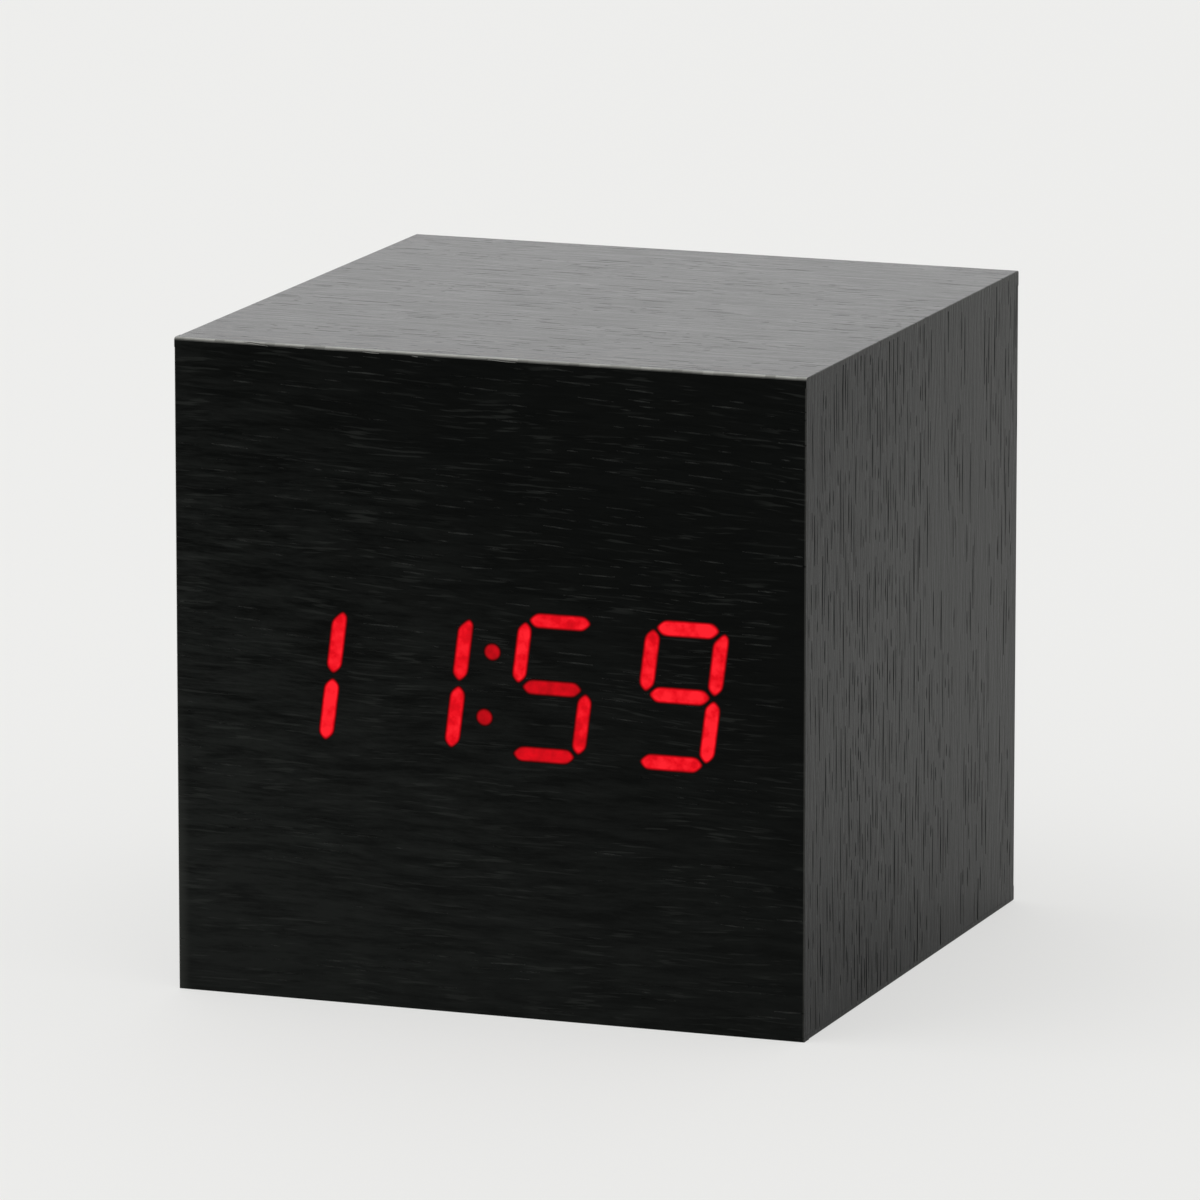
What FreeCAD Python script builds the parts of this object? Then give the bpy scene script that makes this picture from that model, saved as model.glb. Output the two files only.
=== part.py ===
# Veneered cube clock with a seven-segment LED display behind its front veneer.
# Millimetres. +Z is up, the display faces -Y, and the origin is the middle of the base on the table.
import FreeCAD, Part
import os
from math import cos, pi, radians, sin, tan

Vector = FreeCAD.Vector
along_x = Vector(1, 0, 0)
along_y = Vector(0, 1, 0)
along_z = Vector(0, 0, 1)

# Case: fibreboard box, open at the back, with a veneer sheet on each outer face
case_width = 62.0
case_depth = 62.0
case_height = 62.0
board_thickness = 4.5
veneer_thickness = 0.5
glue_block_width = 6.0
glue_block_height = 4.6
glue_block_length = 14.0

# Display: slanted digits of seven bars, in a white light shield pressed against the veneer
digit_count = 4
digit_pitch = 12.4
digit_height = 12.7        # between the centre lines of the top and bottom bars
digit_width = 6.68         # between the centre lines of the left and right bars
digit_slant = 7.3          # degrees
bar_stroke = 1.45
level_bar_inset = 0.41     # from a level bar's tip to the centre line of the upright bar beside it
upright_bar_inset = 0.28
outer_tip_shift = 0.22     # tips at the digit's corners lie this much towards the outside
colon_diameter = 1.55
colon_spread = 6.2         # between the centres of the two dots
display_right = 0.2        # the display's centre, right of and above the middle of the front
display_up = 0.2
film_thickness = 0.2
shield_depth = 6.5
shield_side_margin = 2.8
shield_top_margin = 3.2
shield_clearance = 0.2
well_back_scale = 0.8      # the wells narrow towards their light sources
ear_size = 6.6
ear_overlap = 1.0          # how far an ear reaches into the side of the shield
led_length = 1.6
led_width = 0.8
led_height = 0.6
display_board_side_gap = 0.8   # to the nearer side of the cavity
display_board_margin = 0.5
display_board_thickness = 1.6

# Rear cover: a moulded panel set into the open back, with the battery bay hanging behind it
cover_recess = 1.0
cover_thickness = 2.0
cover_clearance = 0.2
cover_corner_radius = 0.8
cover_rim_bevel = 0.3
screw_strip = 4.6          # height of the strip below the battery door
tub_wall = 1.0
ridge_depth = 2.5          # the ridges between the troughs stop this far below the cells' axes

# Power: three AAA cells side by side, with flat contacts and coil springs
cell_count = 3
cell_length = 44.5
cell_diameter = 10.5
cell_nub_length = 0.8
cell_nub_diameter = 3.8
cell_gap = 0.3
trough_clearance = 0.1
cell_lid_gap = 0.3
contact_thickness = 0.3
contact_width = 8.0
tail_width = 2.0
tail_length = 2.7          # how far a solder tail stands out of the bay's floor
tail_clearance = 0.1
contact_lift = 0.3         # from the ridges to a contact's lower edge
spring_length = 1.8
spring_wire = 0.5
spring_base_diameter = 6.8
spring_tip_diameter = 3.2
spring_turns = 2.5
spring_corners = 10        # straight stretches in each turn of a coil

# Battery door: hooks at the bottom edge, a sprung tongue at the top edge
door_thickness = 1.4
door_ledge = 1.2
door_clearance = 0.15
door_corner_radius = 1.0
hook_width = 5.0
hook_length = 1.6
hook_thickness = 0.7
hook_spacing = 26.0
hook_room = 0.25
hook_swing_room = 1.0      # how far the pocket behind a hook reaches inwards and upwards
hook_play = 0.1
hook_root = 1.0            # how far a hook runs into the door
tongue_width = 9.0
tongue_length = 7.0
tongue_slot = 0.6
grip_ridge_count = 3
grip_ridge_pitch = 1.3
grip_ridge_width = 0.5
grip_ridge_height = 0.3
grip_ridge_first = 1.2     # from the door's top edge to the first ridge
grip_ridge_side_gap = 1.0
grip_ridge_root = 0.1
thumb_scoop_radius = 5.5
thumb_scoop_rise = 1.8     # how far the scoop reaches above the door
thumb_scoop_depth = 1.2

# Buttons, each on the plunger of its own tact switch
button_names = ["set", "up", "down"]
button_pitch = 7.5
button_diameter = 5.4
button_stand = 0.6         # how far a cap stands out of the cover
button_clearance = 0.2
button_flange_diameter = 6.8
button_flange_thickness = 0.8
button_play = 0.4          # between the flange and the inside of the cover
button_bevel = 0.35
switch_size = 6.0
switch_height = 3.5
switch_well_depth = 2.4
plunger_diameter = 3.5
plunger_clearance = 0.06
plunger_stand = 0.8
plunger_length = 2.4
keys_below_top = 6.5       # from the cover's top edge to the line of the keys and the socket
first_button_right = -1.0

# Key board, on two bosses of the rear cover
key_board_thickness = 1.6
key_board_bay_gap = 0.6
key_board_side_gap = 1.4
key_board_top_gap = 0.4
key_board_block_gap = 0.5  # beside the glue blocks and below them
boss_diameter = 4.2
boss_inset = 3.4           # from the cavity's side wall to a boss
boss_below_keys = 1.4
boss_floor = 0.4           # left at the bottom of a boss's hole

# Power socket: an upright micro USB receptacle on the key board
socket_right = 13.0
socket_width = 7.8
socket_height = 2.9
socket_wall = 0.3
socket_bevel = 0.7
socket_below_face = 0.4
socket_slot_clearance = 0.3
socket_slot_radius = 0.8
tongue_plate_width = 5.2
tongue_plate_thickness = 0.7
tongue_plate_below_mouth = 1.0
socket_floor = 1.0

# Microphone of the clap sensor
microphone_right = 5.6
microphone_diameter = 4.5
microphone_length = 5.2
microphone_hole_diameter = 1.4

# Parts on the back of the display board, placed from the board's centre as (right, up)
chip_place = (-9.0, 4.0)
chip_size = 7.0
chip_height = 1.4
chip_bevel = 0.35
chip_width = 5.0
legs_per_side = 8
leg_pitch = 0.8
leg_width = 0.3
leg_thickness = 0.15
leg_reach = 1.0
leg_knee = 0.35            # how far out a leg turns down
chip_lift = 0.1
coin_place = (10.5, -3.0)
coin_diameter = 20.0
coin_height = 3.2
coin_clearance = 0.2
coin_holder_wall = 1.1
coin_holder_floor = 0.8
coin_gate_width = 12.0     # the opening at the top of the holder's rim
coin_gate_bottom = 6.0
clip_width = 6.0
clip_thickness = 0.3
buzzer_place = (-9.5, -9.0)
buzzer_diameter = 9.0
buzzer_height = 5.5
capacitor_place = (-18.5, -4.5)
capacitor_diameter = 6.3
capacitor_height = 7.7
crystal_place = (-18.0, 6.5)
crystal_diameter = 2.0
crystal_length = 6.0
thermistor_place = (-22.0, 1.5)
thermistor_diameter = 2.0
thermistor_thickness = 1.0
lead_thickness = 0.4
lead_length = 3.0
crystal_lead_length = 1.5
resistor_place = (-19.5, 12.5)
resistor_count = 6
resistor_pitch = 1.9
resistor_length = 2.0
resistor_width = 1.25
resistor_height = 0.5

# Wiring inside the case
ribbon_width = 12.7
ribbon_thickness = 0.9
header_width = 14.6
header_height = 4.6
header_depth = 6.0
header_inset = 1.0         # from the display board's top edge
header_below_keys = 0.8
ribbon_run = 0.35          # level share of the ribbon at each end
wire_diameter = 1.2
wire_run_out = 6.0         # a battery wire first runs this far away from its solder tail
wire_board_right = 18.4
wire_board_up = 2.0
wire_sides = 6             # wires, coils and screw shanks have flats, to keep their faces few
bend_share = 0.45          # share of the shorter run that a cut-off corner takes up

# Screws
screw_diameter = 2.0
shank_sides = 8
screw_head_diameter = 3.4
screw_head_height = 1.2
screw_head_sink = 1.0
screw_grip = 6.0
screw_head_clearance = 0.2
screw_end_gap = 0.1        # from a board screw's tip to the bottom of its hole
display_screw_stop = 1.1   # wood left under the veneer at a display screw's tip
cross_width = 0.6
cross_length = 2.0
cross_depth = 0.7
hole_clearance = 0.03

# Places worked out from the sizes above
wall = board_thickness + veneer_thickness
half_width = case_width / 2
front_y = -case_depth / 2
back_y = case_depth / 2
inner_half_width = half_width - wall
inner_bottom = wall
inner_top = case_height - wall
board_back_y = front_y + wall

display_x = display_right
display_z = case_height / 2 + display_up
film_back_y = front_y + veneer_thickness + film_thickness
shield_back_y = film_back_y + shield_depth
display_board_back_y = shield_back_y + display_board_thickness
shield_width = digit_pitch * (digit_count - 1) + digit_width + 2 * shield_side_margin
shield_height = digit_height + 2 * shield_top_margin
display_board_width = 2 * (inner_half_width - abs(display_x) - display_board_side_gap)
ear_x = shield_width / 2 - ear_size / 2
ear_z = shield_height / 2 + ear_size / 2
display_board_height = 2 * (ear_z + ear_size / 2 + display_board_margin)

cover_face_y = back_y - cover_recess
cover_inside_y = cover_face_y - cover_thickness
cover_half_width = inner_half_width - cover_clearance
cover_bottom = inner_bottom + cover_clearance
cover_top = inner_top - cover_clearance
screw_x = inner_half_width - glue_block_width / 2
screw_low_z = inner_bottom + glue_block_height / 2
screw_high_z = inner_top - glue_block_height / 2

door_bottom = cover_bottom + screw_strip
ledge_y = cover_face_y - door_thickness
cell_pitch = cell_diameter + cell_gap
bay_length = cell_length + 2 * contact_thickness + spring_length
bay_bottom = door_bottom + door_ledge
bay_height = cell_count * cell_pitch + cell_gap
bay_top = bay_bottom + bay_height
door_top = bay_top + door_ledge
door_half_width = bay_length / 2 + tub_wall
cell_axis_y = ledge_y - cell_lid_gap - cell_diameter / 2
cell_rows = [bay_bottom + cell_gap + cell_diameter / 2 + row * cell_pitch for row in range(cell_count)]
trough_radius = cell_diameter / 2 + trough_clearance
bay_floor_y = cell_axis_y - trough_radius - tub_wall

keys_z = cover_top - keys_below_top
button_places = [first_button_right - button_pitch * place for place in range(len(button_names))]
flange_outer_y = cover_inside_y - button_play
plunger_top_y = flange_outer_y - button_flange_thickness
switch_top_y = plunger_top_y - plunger_stand
key_board_back_y = switch_top_y - switch_height
key_board_front_y = key_board_back_y - key_board_thickness
key_board_bottom = bay_top + tub_wall + key_board_bay_gap
key_board_top = inner_top - key_board_top_gap
boss_x = inner_half_width - boss_inset
boss_z = keys_z - boss_below_keys


def box(x0, x1, y0, y1, z0, z1):
    return Part.makeBox(x1 - x0, y1 - y0, z1 - z0, Vector(x0, y0, z0))


def rod(diameter, y0, y1, x, z):
    # A round bar along Y.
    return Part.makeCylinder(diameter / 2, y1 - y0, Vector(x, y0, z), along_y)


def ring(radius, centre, first, second, corners):
    # A closed polygon about a centre, in the plane of two unit vectors.
    points = []
    for corner in range(corners):
        angle = 2 * pi * corner / corners
        points.append(centre + first * (radius * cos(angle)) + second * (radius * sin(angle)))
    return Part.makePolygon(points + points[:1])


def shank(diameter, y0, y1, x, z):
    # The part of a screw below its head, or the hole for it.
    outline = ring(diameter / 2, Vector(x, y0, z), along_x, along_z, shank_sides)
    return Part.Face(outline).extrude(along_y * (y1 - y0))


def shank_hole(y0, y1, x, z):
    return shank(screw_diameter + 2 * hole_clearance, y0, y1, x, z)


def plate(outline, y0, y1):
    # An outline of (x, z) points, given depth along Y.
    points = [Vector(x, y0, z) for x, z in outline]
    face = Part.Face(Part.makePolygon(points + points[:1]))
    return face.extrude(along_y * (y1 - y0))


def rounded_plate(x0, x1, y0, y1, z0, z1, corner):
    slab = box(x0, x1, y0, y1, z0, z1)
    uprights = [edge for edge in slab.Edges if abs(edge.tangentAt(0).dot(along_y)) > 0.99]
    return slab.makeFillet(corner, uprights)


def save(node, *solids):
    shape = solids[0] if len(solids) == 1 else Part.makeCompound(list(solids))
    shape.exportStep("parts/" + node + ".step")


# ---- Case ----

def side_boards():
    # Four boards with mitred edges make the tube behind the front board.
    outer = case_outline(veneer_thickness)
    inner = case_outline(wall)
    boards = {}
    for side, name in enumerate(["bottom", "right", "top", "left"]):
        after = (side + 1) % 4
        outline = [outer[side], outer[after], inner[after], inner[side]]
        boards[name + "_board"] = plate(outline, board_back_y, back_y - veneer_thickness)
    return boards


def case_outline(inset):
    # Corners of the case seen from the front, anticlockwise from the lower left.
    x = half_width - inset
    return [(-x, inset), (x, inset), (x, case_height - inset), (-x, case_height - inset)]


def front_board():
    # The board has a window for the light shield, and pilot holes for the display's screws.
    edge = half_width - veneer_thickness
    board = box(-edge, edge, front_y + veneer_thickness, board_back_y,
                veneer_thickness, case_height - veneer_thickness)
    window_x = shield_width / 2 + shield_clearance
    window_z = shield_height / 2 + shield_clearance
    board = board.cut(box(display_x - window_x, display_x + window_x, front_y, back_y,
                          display_z - window_z, display_z + window_z))
    holes = [shank_hole(display_screw_tip_y(), board_back_y, x, z)
             for x, z in ear_places()]
    return board.cut(holes)


def veneer_sheets():
    # Front sheet over everything, top and bottom over the sides, and a frame on the boards' back edges.
    behind = front_y + veneer_thickness
    side_top = case_height - veneer_thickness
    frame_x = half_width - veneer_thickness
    frame = box(-frame_x, frame_x, back_y - veneer_thickness, back_y, veneer_thickness, side_top)
    opening = box(-inner_half_width, inner_half_width, front_y, back_y + 1, inner_bottom, inner_top)
    return {
        "front_veneer": box(-half_width, half_width, front_y, behind, 0, case_height),
        "top_veneer": box(-half_width, half_width, behind, back_y, side_top, case_height),
        "bottom_veneer": box(-half_width, half_width, behind, back_y, 0, veneer_thickness),
        "left_veneer": box(-half_width, -frame_x, behind, back_y, veneer_thickness, side_top),
        "right_veneer": box(frame_x, half_width, behind, back_y, veneer_thickness, side_top),
        "back_edging": frame.cut(opening),
    }


def cover_screw_places():
    return [(x, z) for z in (screw_low_z, screw_high_z) for x in (-screw_x, screw_x)]


def glue_blocks():
    # Softwood blocks in the corners of the box, for the rear cover's screws.
    blocks = []
    for x, z in cover_screw_places():
        block = box(x - glue_block_width / 2, x + glue_block_width / 2,
                    cover_inside_y - glue_block_length, cover_inside_y,
                    z - glue_block_height / 2, z + glue_block_height / 2)
        pilot = shank_hole(cover_screw_tip_y(), cover_inside_y, x, z)
        blocks.append(block.cut(pilot))
    return blocks


# ---- Screws ----

def turned(outline):
    # An outline of (radius, distance) points, turned about Y.
    points = [Vector(radius, distance, 0) for radius, distance in outline]
    return Part.Face(Part.makePolygon(points + points[:1])).revolve(Vector(), along_y, 360)


def screw(head_y, direction, length, x, z):
    # A round head whose top is at head_y, and a shank that runs along direction (+1 or -1 on Y).
    seat_y = head_y + direction * screw_head_height
    tip_y = seat_y + direction * length
    head = rod(screw_head_diameter, *sorted((head_y, seat_y)), x, z)
    return head.fuse(shank(screw_diameter, *sorted((seat_y, tip_y)), x, z))


def cross_recess(head_y, x, z):
    across = cross_length / 2
    half = cross_width / 2
    floor = head_y - cross_depth
    return [box(x - across, x + across, floor, head_y, z - half, z + half),
            box(x - half, x + half, floor, head_y, z - across, z + across)]


def cover_screw_head_y():
    return cover_face_y - screw_head_sink + screw_head_height


def cover_screw_tip_y():
    return cover_inside_y - screw_grip


def cover_screws():
    length = cover_face_y - screw_head_sink - cover_screw_tip_y()
    head_y = cover_screw_head_y()
    return [screw(head_y, -1, length, x, z).cut(cross_recess(head_y, x, z))
            for x, z in cover_screw_places()]


def ear_places():
    # Two ears, at opposite corners of the light shield.
    return [(display_x + side * ear_x, display_z + side * ear_z) for side in (-1, 1)]


def display_screw_tip_y():
    return front_y + veneer_thickness + display_screw_stop


def display_screws():
    length = display_board_back_y - display_screw_tip_y()
    head_y = display_board_back_y + screw_head_height
    return [screw(head_y, -1, length, x, z) for x, z in ear_places()]


def board_screws():
    length = key_board_thickness + boss_hole_depth() - screw_end_gap
    head_y = key_board_front_y - screw_head_height
    return [screw(head_y, 1, length, x, boss_z) for x in (-boss_x, boss_x)]


def boss_hole_depth():
    return cover_inside_y - key_board_back_y - boss_floor


# ---- Display ----

def digit_centres():
    first = display_x - digit_pitch * (digit_count - 1) / 2
    return [first + digit_pitch * place for place in range(digit_count)]


def bar_outline(half_length, half_stroke, start_shift, end_shift):
    # A bar along the first axis with pointed ends. A shift moves an end's point across the bar.
    return [
        (-half_length, start_shift),
        (-half_length + half_stroke + start_shift, -half_stroke),
        (half_length - half_stroke - end_shift, -half_stroke),
        (half_length, end_shift),
        (half_length - half_stroke + end_shift, half_stroke),
        (-half_length + half_stroke - start_shift, half_stroke),
    ]


def digit_bars():
    # The seven bars of a digit about its centre, as (centre, outline) with upright sides.
    half_stroke = bar_stroke / 2
    level_half = digit_width / 2 - level_bar_inset
    upright_half = digit_height / 4 - upright_bar_inset
    bars = []
    for level in (1, 0, -1):
        shift = level * outer_tip_shift
        centre = (0, level * digit_height / 2)
        bars.append((centre, bar_outline(level_half, half_stroke, shift, shift)))
    for side in (-1, 1):
        for half in (1, -1):
            shift = side * outer_tip_shift
            shifts = (0, shift) if half > 0 else (shift, 0)
            lying = bar_outline(upright_half, half_stroke, *shifts)
            outline = [(across, along) for along, across in lying]
            bars.append(((side * digit_width / 2, half * digit_height / 4), outline))
    return bars


def slanted(points, digit_x):
    lean = tan(radians(digit_slant))
    return [(digit_x + x + lean * z, display_z + z) for x, z in points]


def tapered_prism(front, back, y_front, y_back):
    # Flat faces between two outlines of the same form, one larger than the other.
    near = [Vector(x, y_front, z) for x, z in front]
    far = [Vector(x, y_back, z) for x, z in back]
    faces = [Part.Face(Part.makePolygon(near + near[:1])), Part.Face(Part.makePolygon(far + far[:1]))]
    for corner in range(len(near)):
        after = (corner + 1) % len(near)
        side = [near[corner], near[after], far[after], far[corner], near[corner]]
        faces.append(Part.Face(Part.makePolygon(side)))
    solid = Part.makeSolid(Part.makeShell(faces))
    if solid.Volume < 0:
        solid.reverse()
    return solid


def light_wells():
    wells = []
    for digit_x in digit_centres():
        for (x, z), outline in digit_bars():
            front = [(x + across, z + up) for across, up in outline]
            back = [(x + across * well_back_scale, z + up * well_back_scale) for across, up in outline]
            wells.append(tapered_prism(slanted(front, digit_x), slanted(back, digit_x),
                                       film_back_y, shield_back_y))
    for x, z in colon_places():
        wells.append(rod(colon_diameter, film_back_y, shield_back_y, x, z))
    return wells


def colon_places():
    return slanted([(0, colon_spread / 2), (0, -colon_spread / 2)], display_x)


def shield_box(grow, y0, y1):
    x = shield_width / 2 + grow
    z = shield_height / 2 + grow
    return box(display_x - x, display_x + x, y0, y1, display_z - z, display_z + z)


def light_shield():
    # White block with a well for each bar and dot, and an ear for a screw at two opposite corners.
    block = shield_box(0, film_back_y, shield_back_y)
    reach = ear_size / 2
    for x, z in ear_places():
        inward, outward = (ear_overlap, 0) if z > display_z else (0, ear_overlap)
        ear = box(x - reach, x + reach, board_back_y, shield_back_y,
                  z - reach - inward, z + reach + outward)
        hole = shank_hole(board_back_y, shield_back_y, x, z)
        block = block.fuse(ear).cut(hole)
    return block.removeSplitter().cut(light_wells())


def segment_leds():
    # One chip at the bottom of each well, lying along its bar.
    chips = []
    front = shield_back_y - led_height
    for digit_x in digit_centres():
        for (x, z), outline in digit_bars():
            level = outline[0][0] < -bar_stroke
            reach_x, reach_z = (led_length, led_width) if level else (led_width, led_length)
            (cx, cz), = slanted([(x, z)], digit_x)
            chips.append(box(cx - reach_x / 2, cx + reach_x / 2, front, shield_back_y,
                             cz - reach_z / 2, cz + reach_z / 2))
    for cx, cz in colon_places():
        half = led_width / 2
        chips.append(box(cx - half, cx + half, front, shield_back_y, cz - half, cz + half))
    return chips


def display_board():
    x = display_board_width / 2
    z = display_board_height / 2
    board = box(display_x - x, display_x + x, shield_back_y, display_board_back_y,
                display_z - z, display_z + z)
    holes = [shank_hole(shield_back_y, display_board_back_y, hx, hz)
             for hx, hz in ear_places()]
    return board.cut(holes)


# ---- Parts on the back of the display board ----

def on_board(place):
    return display_x + place[0], display_z + place[1]


def timer_chip():
    x, z = on_board(chip_place)
    y0 = display_board_back_y + chip_lift
    body = box(x - chip_width / 2, x + chip_width / 2, y0, y0 + chip_height,
               z - chip_size / 2, z + chip_size / 2)
    rim = [edge for edge in body.Edges if edge.BoundBox.YMin > y0 + chip_height / 2]
    return body.makeChamfer(chip_bevel, rim)


def chip_legs():
    # Bent strips from the middle of the chip's long sides down to the board.
    x, z = on_board(chip_place)
    half = chip_width / 2
    foot = display_board_back_y
    knee = foot + chip_lift + chip_height / 2
    turn_x = half + leg_knee
    end_x = half + leg_reach
    t = leg_thickness
    profile = [(half, knee - t), (turn_x, knee - t), (turn_x, foot), (end_x, foot), (end_x, foot + t),
               (turn_x + t, foot + t), (turn_x + t, knee), (half, knee)]
    legs = []
    for turn in (0, 180):
        for place in range(legs_per_side):
            offset = (place - (legs_per_side - 1) / 2) * leg_pitch
            points = [Vector(out, y, offset - leg_width / 2) for out, y in profile]
            leg = Part.Face(Part.makePolygon(points + points[:1])).extrude(along_z * leg_width)
            leg.rotate(Vector(), along_y, turn)
            leg.translate(Vector(x, 0, z))
            legs.append(leg)
    return legs


def coin_holder():
    x, z = on_board(coin_place)
    pocket = coin_diameter + 2 * coin_clearance
    floor_y = display_board_back_y + coin_holder_floor
    rim_y = floor_y + coin_height + coin_clearance
    ring = rod(pocket + 2 * coin_holder_wall, display_board_back_y, rim_y, x, z)
    ring = ring.cut(rod(pocket, floor_y, rim_y, x, z))
    # The rim is open at the top, where the cell slides in.
    gate = box(x - coin_gate_width / 2, x + coin_gate_width / 2, floor_y, rim_y, z + coin_gate_bottom,
               z + coin_diameter)
    return ring.cut(gate)


def coin_cell():
    x, z = on_board(coin_place)
    y0 = display_board_back_y + coin_holder_floor
    return rod(coin_diameter, y0, y0 + coin_height, x, z)


def coin_clip():
    # A spring steel strap over the holder, with a leg down to the board on each side.
    x, z = on_board(coin_place)
    rim_y = display_board_back_y + coin_holder_floor + coin_height + coin_clearance
    outer = coin_diameter / 2 + coin_clearance + coin_holder_wall + clip_thickness
    half = clip_width / 2
    strap = box(x - outer, x + outer, display_board_back_y, rim_y + clip_thickness, z - half, z + half)
    room = box(x - outer + clip_thickness, x + outer - clip_thickness, display_board_back_y, rim_y,
               z - half, z + half)
    return strap.cut(room)


def buzzer():
    x, z = on_board(buzzer_place)
    return rod(buzzer_diameter, display_board_back_y, display_board_back_y + buzzer_height, x, z)


def capacitor():
    x, z = on_board(capacitor_place)
    return rod(capacitor_diameter, display_board_back_y, display_board_back_y + capacitor_height, x, z)


def crystal():
    # A small can lying on the board, with two leads bent down to it.
    x, z = on_board(crystal_place)
    y = display_board_back_y + crystal_diameter / 2
    can = Part.makeCylinder(crystal_diameter / 2, crystal_length, Vector(x, y, z), along_z)
    for side in (-1, 1):
        lead_x = x + side * crystal_diameter / 4
        half = lead_thickness / 2
        level = box(lead_x - half, lead_x + half, y - half, y + half, z - crystal_lead_length, z)
        down = box(lead_x - half, lead_x + half, display_board_back_y, y - half,
                   z - crystal_lead_length, z - crystal_lead_length + lead_thickness)
        can = can.fuse([level, down])
    return can


def thermistor():
    # A lacquered disc on two leads.
    x, z = on_board(thermistor_place)
    y = display_board_back_y + lead_length
    disc = Part.makeCylinder(thermistor_diameter / 2, thermistor_thickness,
                             Vector(x, y, z - thermistor_thickness / 2), along_z)
    half = lead_thickness / 2
    for side in (-1, 1):
        lead_x = x + side * thermistor_diameter / 4
        disc = disc.fuse(box(lead_x - half, lead_x + half, display_board_back_y, y, z - half, z + half))
    return disc


def resistors():
    x, z = on_board(resistor_place)
    y0 = display_board_back_y
    chips = []
    for place in range(resistor_count):
        left = x + place * resistor_pitch
        chips.append(box(left, left + resistor_width, y0, y0 + resistor_height, z, z + resistor_length))
    return chips


# ---- Rear cover and battery bay ----

def bay_solid(grow, y_top):
    # The room for the cells: a round trough under each, and a straight-sided box above the ridges.
    half_length = bay_length / 2 + grow
    shape = box(-half_length, half_length, cell_axis_y - ridge_depth - grow, y_top,
                bay_bottom - grow, bay_top + grow)
    for z in cell_rows:
        start = Vector(-half_length, cell_axis_y, z)
        trough = Part.makeCylinder(trough_radius + grow, 2 * half_length, start, along_x)
        shape = shape.fuse(trough)
    return shape.removeSplitter()


def hook_places():
    return [-hook_spacing / 2, hook_spacing / 2]


def hook_pockets():
    # Room in front of and behind each hook, open to the inside so that the hook can swing.
    pockets = []
    half = hook_width / 2 + hook_room
    lip_y = ledge_y + hook_thickness + hook_play
    inside = ledge_y - hook_swing_room
    for x in hook_places():
        pockets.append(box(x - half, x + half, inside, lip_y, door_bottom - hook_length - hook_room,
                           door_bottom + hook_swing_room))
    return pockets


def socket_opening():
    grow = socket_slot_clearance
    x = socket_width / 2 + grow
    z = socket_height / 2 + grow
    return rounded_plate(socket_right - x, socket_right + x, cover_inside_y, cover_face_y,
                         keys_z - z, keys_z + z, socket_slot_radius)


def rear_cover():
    # The panel, with the bay, the key board's bosses, and openings for the keys and the socket.
    panel = rounded_plate(-cover_half_width, cover_half_width, cover_inside_y, cover_face_y,
                          cover_bottom, cover_top, cover_corner_radius)
    rim = [edge for edge in panel.Edges if edge.BoundBox.YMin > cover_face_y - 0.01]
    panel = panel.makeChamfer(cover_rim_bevel, rim)
    cover = panel.fuse(bay_solid(tub_wall, cover_inside_y))
    for x in (-boss_x, boss_x):
        cover = cover.fuse(rod(boss_diameter, key_board_back_y, cover_inside_y, x, boss_z))
    door_x = door_half_width + door_clearance
    recess = rounded_plate(-door_x, door_x, ledge_y, cover_face_y, door_bottom - door_clearance,
                           door_top + door_clearance, door_corner_radius)
    cuts = [recess, bay_solid(0, cover_face_y), thumb_scoop(), socket_opening()]
    cuts += hook_pockets() + tail_slots()
    cuts.append(rod(microphone_hole_diameter, cover_inside_y, cover_face_y, microphone_right, keys_z))
    for x in button_places:
        cuts.append(rod(button_diameter + 2 * button_clearance, cover_inside_y, cover_face_y, x, keys_z))
    for x in (-boss_x, boss_x):
        cuts.append(shank_hole(key_board_back_y,
                        key_board_back_y + boss_hole_depth(), x, boss_z))
    seat_y = cover_face_y - screw_head_sink
    for x, z in cover_screw_places():
        cuts.append(rod(screw_head_diameter + 2 * screw_head_clearance, seat_y, cover_face_y, x, z))
        cuts.append(shank_hole(cover_inside_y, seat_y, x, z))
    return cover.cut(cuts).removeSplitter()


def thumb_scoop():
    # A shallow hollow above the door's tongue, where a thumb presses it down.
    centre_z = door_top + thumb_scoop_rise - thumb_scoop_radius
    scoop = rod(2 * thumb_scoop_radius, cover_face_y - thumb_scoop_depth, cover_face_y, 0, centre_z)
    lower = box(-thumb_scoop_radius, thumb_scoop_radius, ledge_y, cover_face_y,
                centre_z - thumb_scoop_radius, door_top)
    return scoop.cut(lower)


def battery_door():
    edge = door_half_width
    door = rounded_plate(-edge, edge, ledge_y, cover_face_y, door_bottom, door_top, door_corner_radius)
    for x in hook_places():
        half = hook_width / 2
        hook = box(x - half, x + half, ledge_y, ledge_y + hook_thickness, door_bottom - hook_length,
                   door_bottom + hook_root)
        door = door.fuse(hook)
    for side in (-1, 1):
        x = side * (tongue_width + tongue_slot) / 2
        slot = box(x - tongue_slot / 2, x + tongue_slot / 2, ledge_y, cover_face_y,
                   door_top - tongue_length, door_top)
        door = door.cut(slot)
    for ridge in range(grip_ridge_count):
        z = door_top - grip_ridge_first - ridge * grip_ridge_pitch
        half = tongue_width / 2 - grip_ridge_side_gap
        bar = box(-half, half, cover_face_y - grip_ridge_root, cover_face_y + grip_ridge_height,
                  z - grip_ridge_width, z)
        door = door.fuse(bar)
    return door.removeSplitter()


# ---- Cells and contacts ----

def positive_side(row):
    # Neighbouring cells lie the opposite way round: -1 has its nub towards -X.
    return -1 if row % 2 == 0 else 1


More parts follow.
